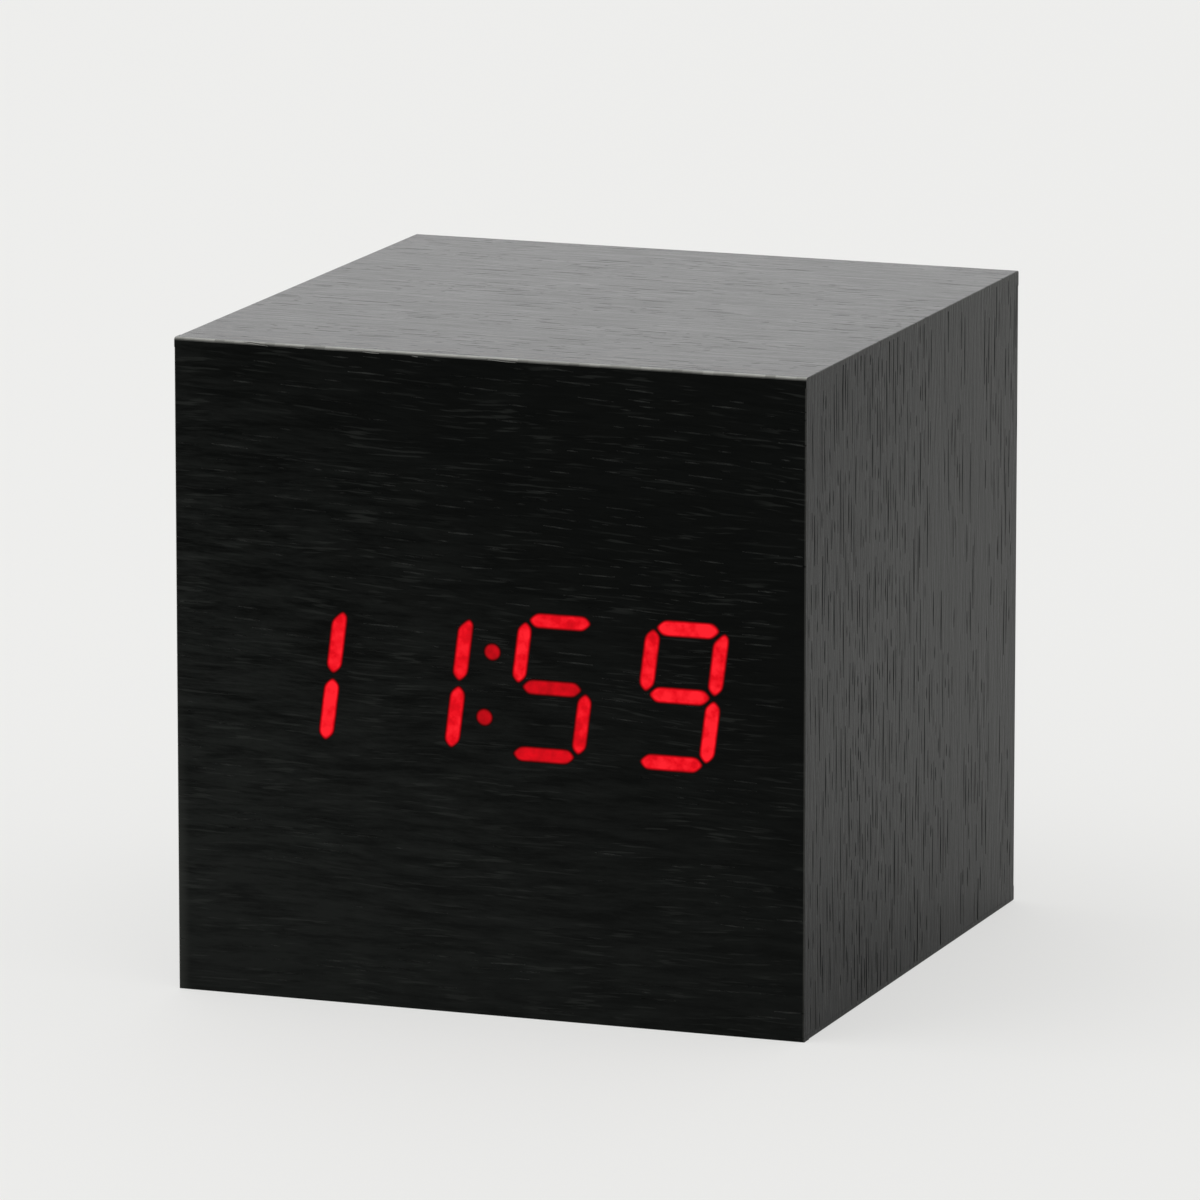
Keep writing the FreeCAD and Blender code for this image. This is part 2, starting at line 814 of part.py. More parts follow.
def battery_cells():
    cells = []
    radius = cell_diameter / 2
    nub = cell_nub_diameter / 2
    can_length = cell_length - cell_nub_length
    for row, z in enumerate(cell_rows):
        cell = turned([(0, 0), (radius, 0), (radius, can_length), (nub, can_length), (nub, cell_length),
                       (0, cell_length)])
        cell.rotate(Vector(), along_z, -90 * positive_side(row))
        start = positive_side(row) * (bay_length / 2 - contact_thickness - cell_length)
        cell.translate(Vector(start, cell_axis_y, z))
        cells.append(cell)
    return cells


def contact_groups():
    # Rows that share a contact at each end, as (side, rows). Single rows carry the solder tails.
    groups = []
    for side in (-1, 1):
        rows = list(range(cell_count))
        if side < 0:
            groups.append((side, rows[:1]))
            rows = rows[1:]
        while rows:
            groups.append((side, rows[:2]))
            rows = rows[2:]
    return groups


def contact_plates():
    plates = []
    for side, rows in contact_groups():
        outer = side * bay_length / 2
        inner = outer - side * contact_thickness
        x0, x1 = sorted((outer, inner))
        z0 = cell_rows[rows[0]] - contact_width / 2
        z1 = cell_rows[rows[-1]] + contact_width / 2
        contact = box(x0, x1, cell_axis_y - ridge_depth + contact_lift, cell_axis_y + contact_width / 2,
                      z0, z1)
        if len(rows) == 1:
            z = cell_rows[rows[0]]
            tail = box(x0, x1, bay_floor_y - tail_length, cell_axis_y,
                       z - tail_width / 2, z + tail_width / 2)
            contact = contact.fuse(tail).removeSplitter()
        plates.append(contact)
    return plates


def tail_slots():
    slots = []
    for side, rows in contact_groups():
        if len(rows) == 1:
            inner = bay_length / 2 - contact_thickness - tail_clearance
            x0, x1 = sorted((side * bay_length / 2, side * inner))
            z = cell_rows[rows[0]]
            half = tail_width / 2 + tail_clearance
            slots.append(box(x0, x1, bay_floor_y - tub_wall, cell_axis_y, z - half, z + half))
    return slots


def contact_springs():
    # Conical coils between the contacts and the cells' flat ends, each drawn along X, narrow end first.
    reach = spring_length - spring_wire
    base = (spring_base_diameter - spring_wire) / 2
    tip = (spring_tip_diameter - spring_wire) / 2
    steps = round(spring_turns * spring_corners)
    path = []
    for step in range(steps + 1):
        share = step / steps
        angle = 2 * pi * spring_turns * share
        radius = tip + (base - tip) * share
        path.append(Vector(spring_wire / 2 + reach * share, radius * cos(angle), radius * sin(angle)))
    section = ring(spring_wire / 2, path[0], along_x, along_y, wire_sides)
    coil = Part.makePolygon(path).makePipeShell([section], True, True, 1)
    springs = []
    for row, z in enumerate(cell_rows):
        flat_side = -positive_side(row)
        spring = coil.copy()
        if flat_side < 0:
            spring.rotate(Vector(), along_z, 180)
        narrow_end = flat_side * (bay_length / 2 - contact_thickness - spring_length)
        spring.translate(Vector(narrow_end, cell_axis_y, z))
        springs.append(spring)
    return springs


# ---- Keys, socket and microphone ----

def key_board():
    # The board steps in at its top corners, beside the glue blocks.
    wide = inner_half_width - key_board_side_gap
    narrow = inner_half_width - glue_block_width - key_board_block_gap
    step = inner_top - glue_block_height - key_board_block_gap
    outline = [(-wide, key_board_bottom), (wide, key_board_bottom), (wide, step), (narrow, step),
               (narrow, key_board_top), (-narrow, key_board_top), (-narrow, step), (-wide, step)]
    board = plate(outline, key_board_front_y, key_board_back_y)
    holes = [shank_hole(key_board_front_y, key_board_back_y, x, boss_z)
             for x in (-boss_x, boss_x)]
    return board.cut(holes)


def switch_bodies():
    bodies = []
    half = switch_size / 2
    for x in button_places:
        body = box(x - half, x + half, key_board_back_y, switch_top_y, keys_z - half, keys_z + half)
        well = rod(plunger_diameter + 2 * plunger_clearance,
                   switch_top_y - switch_well_depth, switch_top_y, x, keys_z)
        bodies.append(body.cut(well))
    return bodies


def plunger(x):
    return rod(plunger_diameter, plunger_top_y - plunger_length, plunger_top_y, x, keys_z)


def button(x):
    # A round cap with a flange that stays behind the cover.
    flange = button_flange_diameter / 2
    cap = button_diameter / 2
    top = cover_face_y + button_stand
    shape = turned([(0, plunger_top_y), (flange, plunger_top_y), (flange, flange_outer_y),
                    (cap, flange_outer_y), (cap, top - button_bevel), (cap - button_bevel, top),
                    (0, top)])
    shape.translate(Vector(x, 0, keys_z))
    return shape


def socket_outline(inset):
    # The receptacle's mouth: flat on top, with its lower corners bevelled.
    x = socket_width / 2 - inset
    z = socket_height / 2 - inset
    bevel = socket_bevel
    return [(socket_right - x + bevel, keys_z - z), (socket_right + x - bevel, keys_z - z),
            (socket_right + x, keys_z - z + bevel), (socket_right + x, keys_z + z),
            (socket_right - x, keys_z + z), (socket_right - x, keys_z - z + bevel)]


def socket_shell():
    mouth_y = cover_face_y - socket_below_face
    shell = plate(socket_outline(0), key_board_back_y, mouth_y)
    return shell.cut(plate(socket_outline(socket_wall), key_board_back_y, mouth_y))


def socket_insert():
    # The plastic floor of the receptacle, with the tongue that carries its contacts.
    mouth_y = cover_face_y - socket_below_face
    floor = plate(socket_outline(socket_wall), key_board_back_y, key_board_back_y + socket_floor)
    half = tongue_plate_width / 2
    low = keys_z - tongue_plate_thickness / 2
    tongue = box(socket_right - half, socket_right + half,
                 key_board_back_y, mouth_y - tongue_plate_below_mouth, low, low + tongue_plate_thickness)
    return floor.fuse(tongue).removeSplitter()


def microphone():
    return rod(microphone_diameter, key_board_back_y, key_board_back_y + microphone_length,
               microphone_right, keys_z)


# ---- Wiring ----

def bent_path(points):
    # Straight runs whose corners are cut off.
    path = [points[0]]
    for before, corner, after in zip(points, points[1:], points[2:]):
        back = before - corner
        ahead = after - corner
        reach = bend_share * min(back.Length, ahead.Length)
        path.append(corner + back.normalize() * reach)
        path.append(corner + ahead.normalize() * reach)
    path.append(points[-1])
    return Part.makePolygon(path)


def battery_wire(side, row):
    # From a contact's solder tail, up in front of the bay, to the key board.
    x = side * (bay_length / 2 - contact_thickness / 2)
    tail_y = bay_floor_y - tail_length
    run_y = tail_y - wire_run_out
    board_point = Vector(side * wire_board_right, key_board_front_y, key_board_bottom + wire_board_up)
    points = [Vector(x, tail_y, cell_rows[row]), Vector(x, run_y, cell_rows[row]),
              Vector(board_point.x, run_y, board_point.z), board_point]
    section = ring(wire_diameter / 2, points[0], along_x, along_z, wire_sides)
    return bent_path(points).makePipeShell([section], True, False, 1)


def display_header_z():
    return display_z + display_board_height / 2 - header_height / 2 - header_inset


def key_header_z():
    return keys_z - header_below_keys


def header(x, y0, y1, z):
    half = header_width / 2
    return box(x - half, x + half, y0, y1, z - header_height / 2, z + header_height / 2)


def ribbon_cable():
    low = display_header_z()
    high = key_header_z()
    y0 = display_board_back_y + header_depth
    y1 = key_board_front_y - header_depth
    run = (y1 - y0) * ribbon_run
    points = [Vector(display_x, y0, low), Vector(display_x, y0 + run, low),
              Vector(display_x, y1 - run, high), Vector(display_x, y1, high)]
    half = ribbon_width / 2
    edge = ribbon_thickness / 2
    corners = [Vector(display_x + x, y0, low + z) for x, z in
               ((-half, -edge), (half, -edge), (half, edge), (-half, edge))]
    section = Part.makePolygon(corners + corners[:1])
    return bent_path(points).makePipeShell([section], True, False, 1)


# ---- Assembly ----

os.makedirs("parts", exist_ok=True)
for node, shape in list(side_boards().items()) + list(veneer_sheets().items()):
    save(node, shape)
save("front_board", front_board())
save("glue_blocks", *glue_blocks())
save("cover_screws", *cover_screws())

save("diffuser_film", shield_box(0, front_y + veneer_thickness, film_back_y))
save("light_shield", light_shield())
save("segment_leds", *segment_leds())
save("display_board", display_board())
save("display_screws", *display_screws())
save("timer_chip", timer_chip())
save("chip_legs", *chip_legs())
save("coin_holder", coin_holder())
save("coin_cell", coin_cell())
save("coin_clip", coin_clip())
save("buzzer", buzzer())
save("capacitor", capacitor())
save("crystal", crystal())
save("thermistor", thermistor())
save("resistors", *resistors())

save("rear_cover", rear_cover())
save("battery_door", battery_door())
save("battery_cells", *battery_cells())
save("contact_plates", *contact_plates())
save("contact_springs", *contact_springs())

save("key_board", key_board())
save("board_screws", *board_screws())
save("switch_bodies", *switch_bodies())
for name, place in zip(button_names, button_places):
    save(name + "_button", button(place))
    save(name + "_plunger", plunger(place))
save("socket_shell", socket_shell())
save("socket_insert", socket_insert())
save("microphone", microphone())

save("positive_wire", battery_wire(-1, 0))
save("negative_wire", battery_wire(1, cell_count - 1))
save("display_header", header(display_x, display_board_back_y, display_board_back_y + header_depth,
                              display_header_z()))
save("key_header", header(display_x, key_board_front_y - header_depth, key_board_front_y, key_header_z()))
save("ribbon_cable", ribbon_cable())
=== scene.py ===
# Cube clock in black veneer: the finish of its surfaces, the lit digits and the parts at the back.
import math
import random

import bmesh
import bpy
from mathutils import Matrix, Vector, noise


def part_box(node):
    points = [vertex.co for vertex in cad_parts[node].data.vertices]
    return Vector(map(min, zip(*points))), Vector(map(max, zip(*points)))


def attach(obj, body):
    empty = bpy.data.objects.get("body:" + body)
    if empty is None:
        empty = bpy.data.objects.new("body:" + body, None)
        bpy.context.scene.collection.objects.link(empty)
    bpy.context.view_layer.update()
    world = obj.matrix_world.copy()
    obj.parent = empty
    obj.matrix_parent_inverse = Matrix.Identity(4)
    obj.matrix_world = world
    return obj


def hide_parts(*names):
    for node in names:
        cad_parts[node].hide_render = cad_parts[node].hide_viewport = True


mm = 0.001
hair = 0.001 * mm  # anything closer counts as touching
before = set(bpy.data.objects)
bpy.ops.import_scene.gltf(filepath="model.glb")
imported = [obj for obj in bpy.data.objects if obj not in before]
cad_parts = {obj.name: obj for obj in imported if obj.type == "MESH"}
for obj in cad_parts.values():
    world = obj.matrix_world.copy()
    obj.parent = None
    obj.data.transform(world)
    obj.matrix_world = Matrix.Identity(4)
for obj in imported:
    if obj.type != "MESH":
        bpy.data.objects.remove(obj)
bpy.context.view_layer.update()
print("frame loaded:", len(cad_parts), "nodes")

# Places that everything is worked out from.
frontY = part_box("front_veneer")[0].y
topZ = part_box("top_veneer")[1].z
halfCube = topZ / 2
cubeCentre = Vector((0, frontY + halfCube, halfCube))
displayCentre = sum(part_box("diffuser_film"), Vector()) / 2

# Short ways to add and link shader nodes, meshes and objects.


def feed(tree, socket, value):
    # Links another node's socket, or sets a plain value. A color is three numbers.
    if isinstance(value, bpy.types.NodeSocket):
        tree.links.new(value, socket)
    else:
        socket.default_value = (*value, 1) if socket.type == "RGBA" else value


def fill(tree, sockets, values):
    # Feeds sockets by their names.
    for name, value in values.items():
        feed(tree, sockets[name], value)


def addNode(tree, kind, *values, **settings):
    # The values go into the node's sockets in their order.
    node = tree.nodes.new(kind)
    for name, value in settings.items():
        setattr(node, name, value)
    for socket, value in zip(node.inputs, values):
        feed(tree, socket, value)
    return node


def calculate(tree, operation, first, second=0.0):
    return addNode(tree, "ShaderNodeMath", first, second, operation=operation).outputs[0]


def remap(tree, value, fromLow, fromHigh, toLow=0.0, toHigh=1.0, style="LINEAR"):
    node = addNode(tree, "ShaderNodeMapRange", value, fromLow, fromHigh, toLow, toHigh,
                   interpolation_type=style)
    return node.outputs[0]


def vary(tree, pattern, low=0.0, high=1.0):
    # A noise lies mostly between 0.3 and 0.7.
    return remap(tree, pattern, 0.3, 0.7, low, high)


def blend(tree, share, first, second, kind="RGBA"):
    # Each kind of value has its own pair of sockets, and its own result.
    node = addNode(tree, "ShaderNodeMix", share, data_type=kind)
    spot = ("FLOAT", "VECTOR", "RGBA").index(kind)
    feed(tree, node.inputs[2 * spot + 2], first)
    feed(tree, node.inputs[2 * spot + 3], second)
    return node.outputs[spot]


def split(tree, vector):
    return addNode(tree, "ShaderNodeSeparateXYZ", vector).outputs


def layNoise(tree, place, stretch, detail, roughness=0.5):
    # The stretch is one number, two for a flat pattern, or three.
    flat = isinstance(stretch, tuple) and len(stretch) == 2
    if flat:
        stretch = (*stretch, 0)
    elif isinstance(stretch, float):
        stretch = (stretch, stretch, stretch)
    place = addNode(tree, "ShaderNodeVectorMath", place, stretch, operation="MULTIPLY").outputs[0]
    node = addNode(tree, "ShaderNodeTexNoise", noise_dimensions="2D" if flat else "3D")
    fill(tree, node.inputs, {"Vector": place, "Scale": 1.0, "Detail": detail, "Roughness": roughness})
    return node.outputs["Fac"]


def bump(tree, height, depth):
    node = addNode(tree, "ShaderNodeBump")
    fill(tree, node.inputs, {"Distance": depth, "Height": height})
    return node.outputs["Normal"]


def newGroup(name, inputs, outputs):
    # The inputs are numbers with these defaults, and vectors where there is none. The outputs are numbers.
    group = bpy.data.node_groups.new(name, "ShaderNodeTree")
    for title, default in inputs.items():
        kind = "NodeSocketVector" if default is None else "NodeSocketFloat"
        socket = group.interface.new_socket(title, in_out="INPUT", socket_type=kind)
        if default is not None:
            socket.default_value = default
    for title in outputs:
        group.interface.new_socket(title, in_out="OUTPUT", socket_type="NodeSocketFloat")
    return group, group.nodes.new("NodeGroupInput").outputs, group.nodes.new("NodeGroupOutput").inputs


def placeGroup(tree, group, **values):
    node = addNode(tree, "ShaderNodeGroup", node_tree=group)
    fill(tree, node.inputs, values)
    return node.outputs


def newMaterial(name):
    material = bpy.data.materials.new(name)
    material.use_nodes = True
    tree = material.node_tree
    place = addNode(tree, "ShaderNodeTexCoord").outputs["Object"]
    return material, tree, tree.nodes["Principled BSDF"].inputs, place


def meshFrom(bm, name):
    # The bmesh is used up.
    mesh = bpy.data.meshes.new(name)
    bm.to_mesh(mesh)
    bm.free()
    return mesh


def bmeshFrom(mesh):
    # The mesh is used up.
    bm = bmesh.new()
    bm.from_mesh(mesh)
    bpy.data.meshes.remove(mesh)
    return bm


def newObject(name, data):
    thing = bpy.data.objects.new(name, data)
    bpy.context.scene.collection.objects.link(thing)
    return thing


# The camera, the floor and the lights.

camera = {
    "lens": 322.4,  # on a 36 mm sensor
    "azimuth": 20.25,  # degrees to the right of straight ahead
    "elevation": 11.41,
    "distance": 1.0192,
    "target": (-0.00039, 0.0, 0.03342),
}

studio = {
    "floorSize": 6.0,
    "floorColor": (0.80, 0.80, 0.79),
    "shownFloor": (0.919, 0.919, 0.909),
    "shadowShare": 0.39,  # how much of the real light and shadow the pale floor lets through
    "mirroredShadow": 0.66,  # and how much of it in reflections
    "worldColor": (0.84, 0.84, 0.83),
    "worldStrength": 0.86,
    "backdrop": 1.0,  # what shiny surfaces see behind the object
    "roomInFront": 0.35,  # and in front of it
    "passage": (-0.4, 0.3),  # where the one passes into the other, going back
    "lamps": [
        # place, width, height, watts
        ("overhead softbox", (-0.32, -0.22, 0.90), 0.7, 0.7, 2.0),
        ("rear softbox", (-0.68, 1.84, 0.50), 2.0, 0.8, 8.3),
    ],
}


def turnTowards(direction):
    return direction.to_track_quat("Z", "Y").to_euler()


def placeCamera():
    data = bpy.data.cameras.new("camera")
    data.lens = camera["lens"]
    data.clip_start = 0.05
    data.clip_end = 50
    holder = newObject("camera", data)
    around = math.radians(camera["azimuth"])
    up = math.radians(camera["elevation"])
    away = Vector((math.sin(around) * math.cos(up), -math.cos(around) * math.cos(up), math.sin(up)))
    holder.location = Vector(camera["target"]) + away * camera["distance"]
    holder.rotation_euler = turnTowards(away)
    bpy.context.scene.camera = holder


def whenSeen(tree, share, mirroredShare):
    # The shares apply to what the camera, reflections and glass see, and not to the light itself.
    path = addNode(tree, "ShaderNodeLightPath").outputs
    mirrored = calculate(tree, "MAXIMUM", path["Is Glossy Ray"], path["Is Transmission Ray"])
    seen = calculate(tree, "MULTIPLY", path["Is Camera Ray"], share)
    return calculate(tree, "MAXIMUM", seen, calculate(tree, "MULTIPLY", mirrored, mirroredShare))


def mixShaders(tree, share, first, second, output):
    mixed = addNode(tree, "ShaderNodeMixShader", share, first.outputs[0], second.outputs[0])
    feed(tree, tree.nodes[output].inputs[0], mixed.outputs[0])


def layFloor():
    bm = bmesh.new()
    bmesh.ops.create_grid(bm, x_segments=1, y_segments=1, size=studio["floorSize"] / 2)
    floor = newObject("floor", meshFrom(bm, "floor"))
    paper = bpy.data.materials.new("pale paper")
    paper.use_nodes = True
    paper.cycles.emission_sampling = "NONE"
    tree = paper.node_tree
    shader = tree.nodes["Principled BSDF"]
    fill(tree, shader.inputs, {"Base Color": studio["floorColor"], "Roughness": 0.9,
                               "Specular IOR Level": 0.1})
    glow = addNode(tree, "ShaderNodeEmission", studio["shownFloor"])
    seen = whenSeen(tree, 1 - studio["shadowShare"], 1 - studio["mirroredShadow"])
    mixShaders(tree, seen, shader, glow, "Material Output")
    floor.data.materials.append(paper)


def lightRoom():
    world = bpy.data.worlds.new("studio")
    world.use_nodes = True
    bpy.context.scene.world = world
    tree = world.node_tree
    light = tree.nodes["Background"]
    fill(tree, light.inputs, {"Color": studio["worldColor"], "Strength": studio["worldStrength"]})
    shown = addNode(tree, "ShaderNodeBackground")
    back = split(tree, addNode(tree, "ShaderNodeTexCoord").outputs["Generated"])["Y"]
    strength = remap(tree, back, *studio["passage"], studio["roomInFront"], studio["backdrop"])
    feed(tree, shown.inputs["Strength"], strength)
    mixShaders(tree, whenSeen(tree, 1.0, 1.0), light, shown, "World Output")

    for name, place, width, height, power in studio["lamps"]:
        data = bpy.data.lights.new(name, "AREA")
        data.shape = "RECTANGLE"
        data.size, data.size_y = width, height
        data.energy = power
        lamp = newObject(name, data)
        lamp.location = place
        lamp.visible_camera = False
        lamp.rotation_euler = turnTowards(Vector(place) - Vector(camera["target"]))


placeCamera()
layFloor()
lightRoom()
bpy.context.scene.view_settings.view_transform = "Standard"
print("studio built")

# The black veneer. Its pattern is shared by all faces and by the lit digits.

blackVeneer = {
    "woodColor": (0.0008, 0.0013, 0.0010),
    # Pale color along the rounded edges: edge wear and a painted highlight, strongest along the front top
    # edge.
    "edgeWearAndHighlightColor": (0.66, 0.66, 0.62),
    "sheenRange": (0.06, 0.9),  # how much of the painted sheen shows, from the dark side of a face to the lit one
    "endHighlightColor": (0.034, 0.036, 0.033),  # a painted highlight at the ends of a sheet, where the painted sheen is strong
    "endHighlightWidth": 1.3 * mm,
    "endHighlightFrom": (0.62, 1.06),  # how strong the painted sheen is where the painted highlight begins, and where it is full
    "roughness": 0.36,
    "roughnessSpread": (-0.025, 0.03),
    "poreRoughness": 0.5,  # what the open pores add to it
    "reliefDepth": 0.03 * mm,
    "wander": 0.7 * mm,  # how far the grain strays to either side
    "slopeRise": 1.2,  # the slope of the grain grows from nothing to this share of it across a face
    "poreShows": (0.008 * mm, 0.025 * mm),  # how deep a cut is where the pore's color begins and is full
    "poreMargin": 0.32 * mm,  # and how far from the edges that ends
    # Waves to a metre, along and across the grain, and outwards.
    "wanderWaves": (30, 85, 30),
    "streaks": (230, 3300),
    "drifts": (95, 560),
    "fibres": (150, 2600),
    "clouds": (110, 900),
    # What the fibres add to the relief of the clouds, and what the fine pores take from it.
    "fibreRelief": 0.6,
    "hairRelief": 0.4,
}


def makeGrainGroup():
    # Stained open-pored wood. X runs along the grain, Y across it and Z out of the middle of the cube.
    group, given, result = newGroup("veneer grain", {"Vector": None, "Seed": 0.0, "Slope": 0.0},
                                    ("Pores", "Hairs", "Clouds", "Height"))
    along, across, out = split(group, given["Vector"])
    wander = layNoise(group, given["Vector"], blackVeneer["wanderWaves"], 2.0)
    sway = remap(group, wander, 0.25, 0.75, -blackVeneer["wander"], blackVeneer["wander"])
    rise = remap(group, across, -halfCube, halfCube, 0.0, blackVeneer["slopeRise"])
    slant = calculate(group, "MULTIPLY", along, given["Slope"])
    slant = calculate(group, "MULTIPLY", slant, rise)
    sway = calculate(group, "ADD", sway, slant)
    flow = addNode(group, "ShaderNodeCombineXYZ", calculate(group, "ADD", along, given["Seed"]),
                   calculate(group, "ADD", across, sway)).outputs[0]

    # The deep pores are cut into the sheet, and show by their depth below its face.
    depth = calculate(group, "SUBTRACT", halfCube, calculate(group, "ABSOLUTE", out))
    cut = remap(group, depth, *blackVeneer["poreShows"])
    aside = calculate(group, "MAXIMUM", calculate(group, "ABSOLUTE", along),
                      calculate(group, "ABSOLUTE", across))
    inside = calculate(group, "LESS_THAN", aside, halfCube - blackVeneer["poreMargin"])

    # Hair-fine pores between them, in drifts.
    streaks = layNoise(group, flow, blackVeneer["streaks"], 2.0)
    drifts = layNoise(group, flow, blackVeneer["drifts"], 2.0)
    fine = remap(group, streaks, 0.56, 0.68, style="SMOOTHSTEP")
    fine = calculate(group, "MULTIPLY", fine, remap(group, drifts, 0.42, 0.62))
    fibres = layNoise(group, flow, blackVeneer["fibres"], 3.0)
    clouds = layNoise(group, flow, blackVeneer["clouds"], 6.0, 0.75)
    raised = calculate(group, "MULTIPLY", fibres, blackVeneer["fibreRelief"])
    sunk = calculate(group, "MULTIPLY", fine, blackVeneer["hairRelief"])
    fill(group, result, {
        "Pores": calculate(group, "MULTIPLY", cut, inside),
        "Hairs": fine,
        "Clouds": clouds,
        "Height": calculate(group, "SUBTRACT", calculate(group, "ADD", clouds, raised), sunk),
    })
    return group


grainGroup = makeGrainGroup()


def grainAxes(tree, place, axes):
    # Turns the object's coordinates, from the middle of the cube, so that X runs along the grain.
    centred = addNode(tree, "ShaderNodeVectorMath", place, tuple(cubeCentre), operation="SUBTRACT")
    parts = split(tree, centred.outputs[0])
    return addNode(tree, "ShaderNodeCombineXYZ", *(parts[axis] for axis in axes)).outputs[0]


def mitredAxes(tree, place, level):
    # On strips that meet in mitres the grain runs along each strip.
    along, across = (calculate(tree, "ABSOLUTE", part) for part in split(tree, level)[:2])
    upright = calculate(tree, "GREATER_THAN", along, across)
    return blend(tree, upright, level, grainAxes(tree, place, "ZXY"), "VECTOR")


def makeVeneer(name, axes, look, mitred=False):
    # Each face is painted lighter towards one corner, a painted sheen over the stain.
    material, tree, surface, place = newMaterial(name)
    turned = grainAxes(tree, place, axes)
    grain = placeGroup(tree, grainGroup, Vector=mitredAxes(tree, place, turned) if mitred else turned,
                       Seed=look["seed"], Slope=look["slope"])
    wood, clouds = blackVeneer["woodColor"], grain["Clouds"]
    # Pale pores, as on the front, are painted highlights on rims that catch the light; dark pores are the
    # pores' own color.
    pore = blend(tree, remap(tree, clouds, 0.38, 0.60, 0.35, 1.0), wood, look["poreColor"])
    # Painted sheen: the face grows lighter towards one corner, where more light falls on it, and is mottled
    # by the stain's clouds.
    thin = addNode(tree, "ShaderNodeVectorMath", turned, (*look["sheenTowards"], 0), operation="DOT_PRODUCT")
    thin = remap(tree, thin.outputs["Value"], look["sheenStart"] * halfCube, halfCube,
                 *blackVeneer["sheenRange"])
    along, across = split(tree, turned)[:2]
    fromMiddle = calculate(tree, "ABSOLUTE", along)
    # Painted sheen half way along the grain, where the sides catch the most light.
    middleSheen = remap(tree, fromMiddle, 0.0, halfCube, look["middleSheen"], 0.0, "SMOOTHSTEP")
    thin = calculate(tree, "ADD", thin, middleSheen)
    mottling = remap(tree, across, -halfCube, halfCube, *look["mottling"])
    cloudy = remap(tree, clouds, 0.36, 0.66, calculate(tree, "SUBTRACT", 1.0, mottling),
                   calculate(tree, "ADD", 1.0, mottling))
    wood = blend(tree, calculate(tree, "MULTIPLY", thin, cloudy), wood, look["sheenColor"])
    # Where a face's hair color is lighter than its wood, the fine hairs are painted highlights along the
    # pores.
    hairs = calculate(tree, "MULTIPLY", grain["Hairs"], look["hairs"])
    wood = blend(tree, hairs, wood, look["hairColor"])
    wood = blend(tree, grain["Pores"], wood, pore)
    # Painted highlight along the ends of a sheet, where the painted sheen is strong.
    endHighlight = remap(tree, fromMiddle, halfCube - blackVeneer["endHighlightWidth"], halfCube, style="SMOOTHSTEP")
    bare = remap(tree, thin, *blackVeneer["endHighlightFrom"])
    wood = blend(tree, calculate(tree, "MULTIPLY", endHighlight, bare), wood, blackVeneer["endHighlightColor"])
    # Pale edge wear and painted highlight along the rounded edges, from the marks on the faces.
    wearAndHighlight = addNode(tree, "ShaderNodeAttribute", attribute_name="wearAndHighlight").outputs["Fac"]
    low, high = (blackVeneer["roughness"] + change for change in blackVeneer["roughnessSpread"])
    matt = calculate(tree, "MULTIPLY", grain["Pores"], blackVeneer["poreRoughness"])
    fill(tree, surface, {
        "Base Color": blend(tree, wearAndHighlight, wood, blackVeneer["edgeWearAndHighlightColor"]),
        "Roughness": calculate(tree, "ADD", vary(tree, clouds, low, high), matt),
        "Specular IOR Level": look["specular"],
        "Normal": bump(tree, grain["Height"], look["relief"] * blackVeneer["reliefDepth"]),
    })
    return material


# Ways to cut, gather and finish meshes.


def finishPiece(bm, name, materials, body, replaced=(), sharpAngle=35):
    mesh = meshFrom(bm, name)
    for polygon in mesh.polygons:
        polygon.use_smooth = True
    mesh.set_sharp_from_angle(angle=math.radians(sharpAngle))
    for material in materials:
        mesh.materials.append(material)
    piece = newObject(name, mesh)
    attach(piece, body)
    if replaced:
        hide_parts(*replaced)
    return piece


def cutOut(bm, cutter):
    # Both are closed meshes and are used up. The result is a new one.
    body, tool = (newObject("temporary", meshFrom(part, "temporary")) for part in (bm, cutter))
    cut = body.modifiers.new("cut", "BOOLEAN")
    cut.operation = "DIFFERENCE"
    cut.solver = "MANIFOLD"
    cut.object = tool
    ready = body.evaluated_get(bpy.context.evaluated_depsgraph_get())
    result = bmeshFrom(bpy.data.meshes.new_from_object(ready))
    for one in (body, tool):
        used = one.data
        bpy.data.objects.remove(one)
        bpy.data.meshes.remove(used)
    return result


def gather(parts):
    # Puts several meshes into one.
    whole = bmesh.new()
    for part in parts:
        mesh = meshFrom(part, "part")
        whole.from_mesh(mesh)
        bpy.data.meshes.remove(mesh)
    return whole


def roundEdges(bm, edges, radius, segments=4):
    bmesh.ops.bevel(bm, geom=edges, offset=radius, offset_type="OFFSET", segments=segments, profile=0.5,
                    affect="EDGES", material=-1, clamp_overlap=True)


def isCorner(edge, angle=40):
    # Whether the two faces at an edge turn by more than an angle in degrees.
    return len(edge.link_faces) == 2 and edge.calc_face_angle(0) > math.radians(angle)


def thicken(bm, shift):
    # Gives flat faces a thickness, and returns the points of their far side.
    grown = bmesh.ops.extrude_face_region(bm, geom=list(bm.faces), use_keep_orig=True)["geom"]
    far = [part for part in grown if isinstance(part, bmesh.types.BMVert)]
    bmesh.ops.translate(bm, vec=shift, verts=far)
    bmesh.ops.recalc_face_normals(bm, faces=bm.faces)
    return far


def grainTurn(grain, outward):
    # Turns X along the grain and Z outwards.
    return Matrix((grain, outward.cross(grain), outward)).transposed().to_4x4()

# The lit digits, flush in the front sheet.

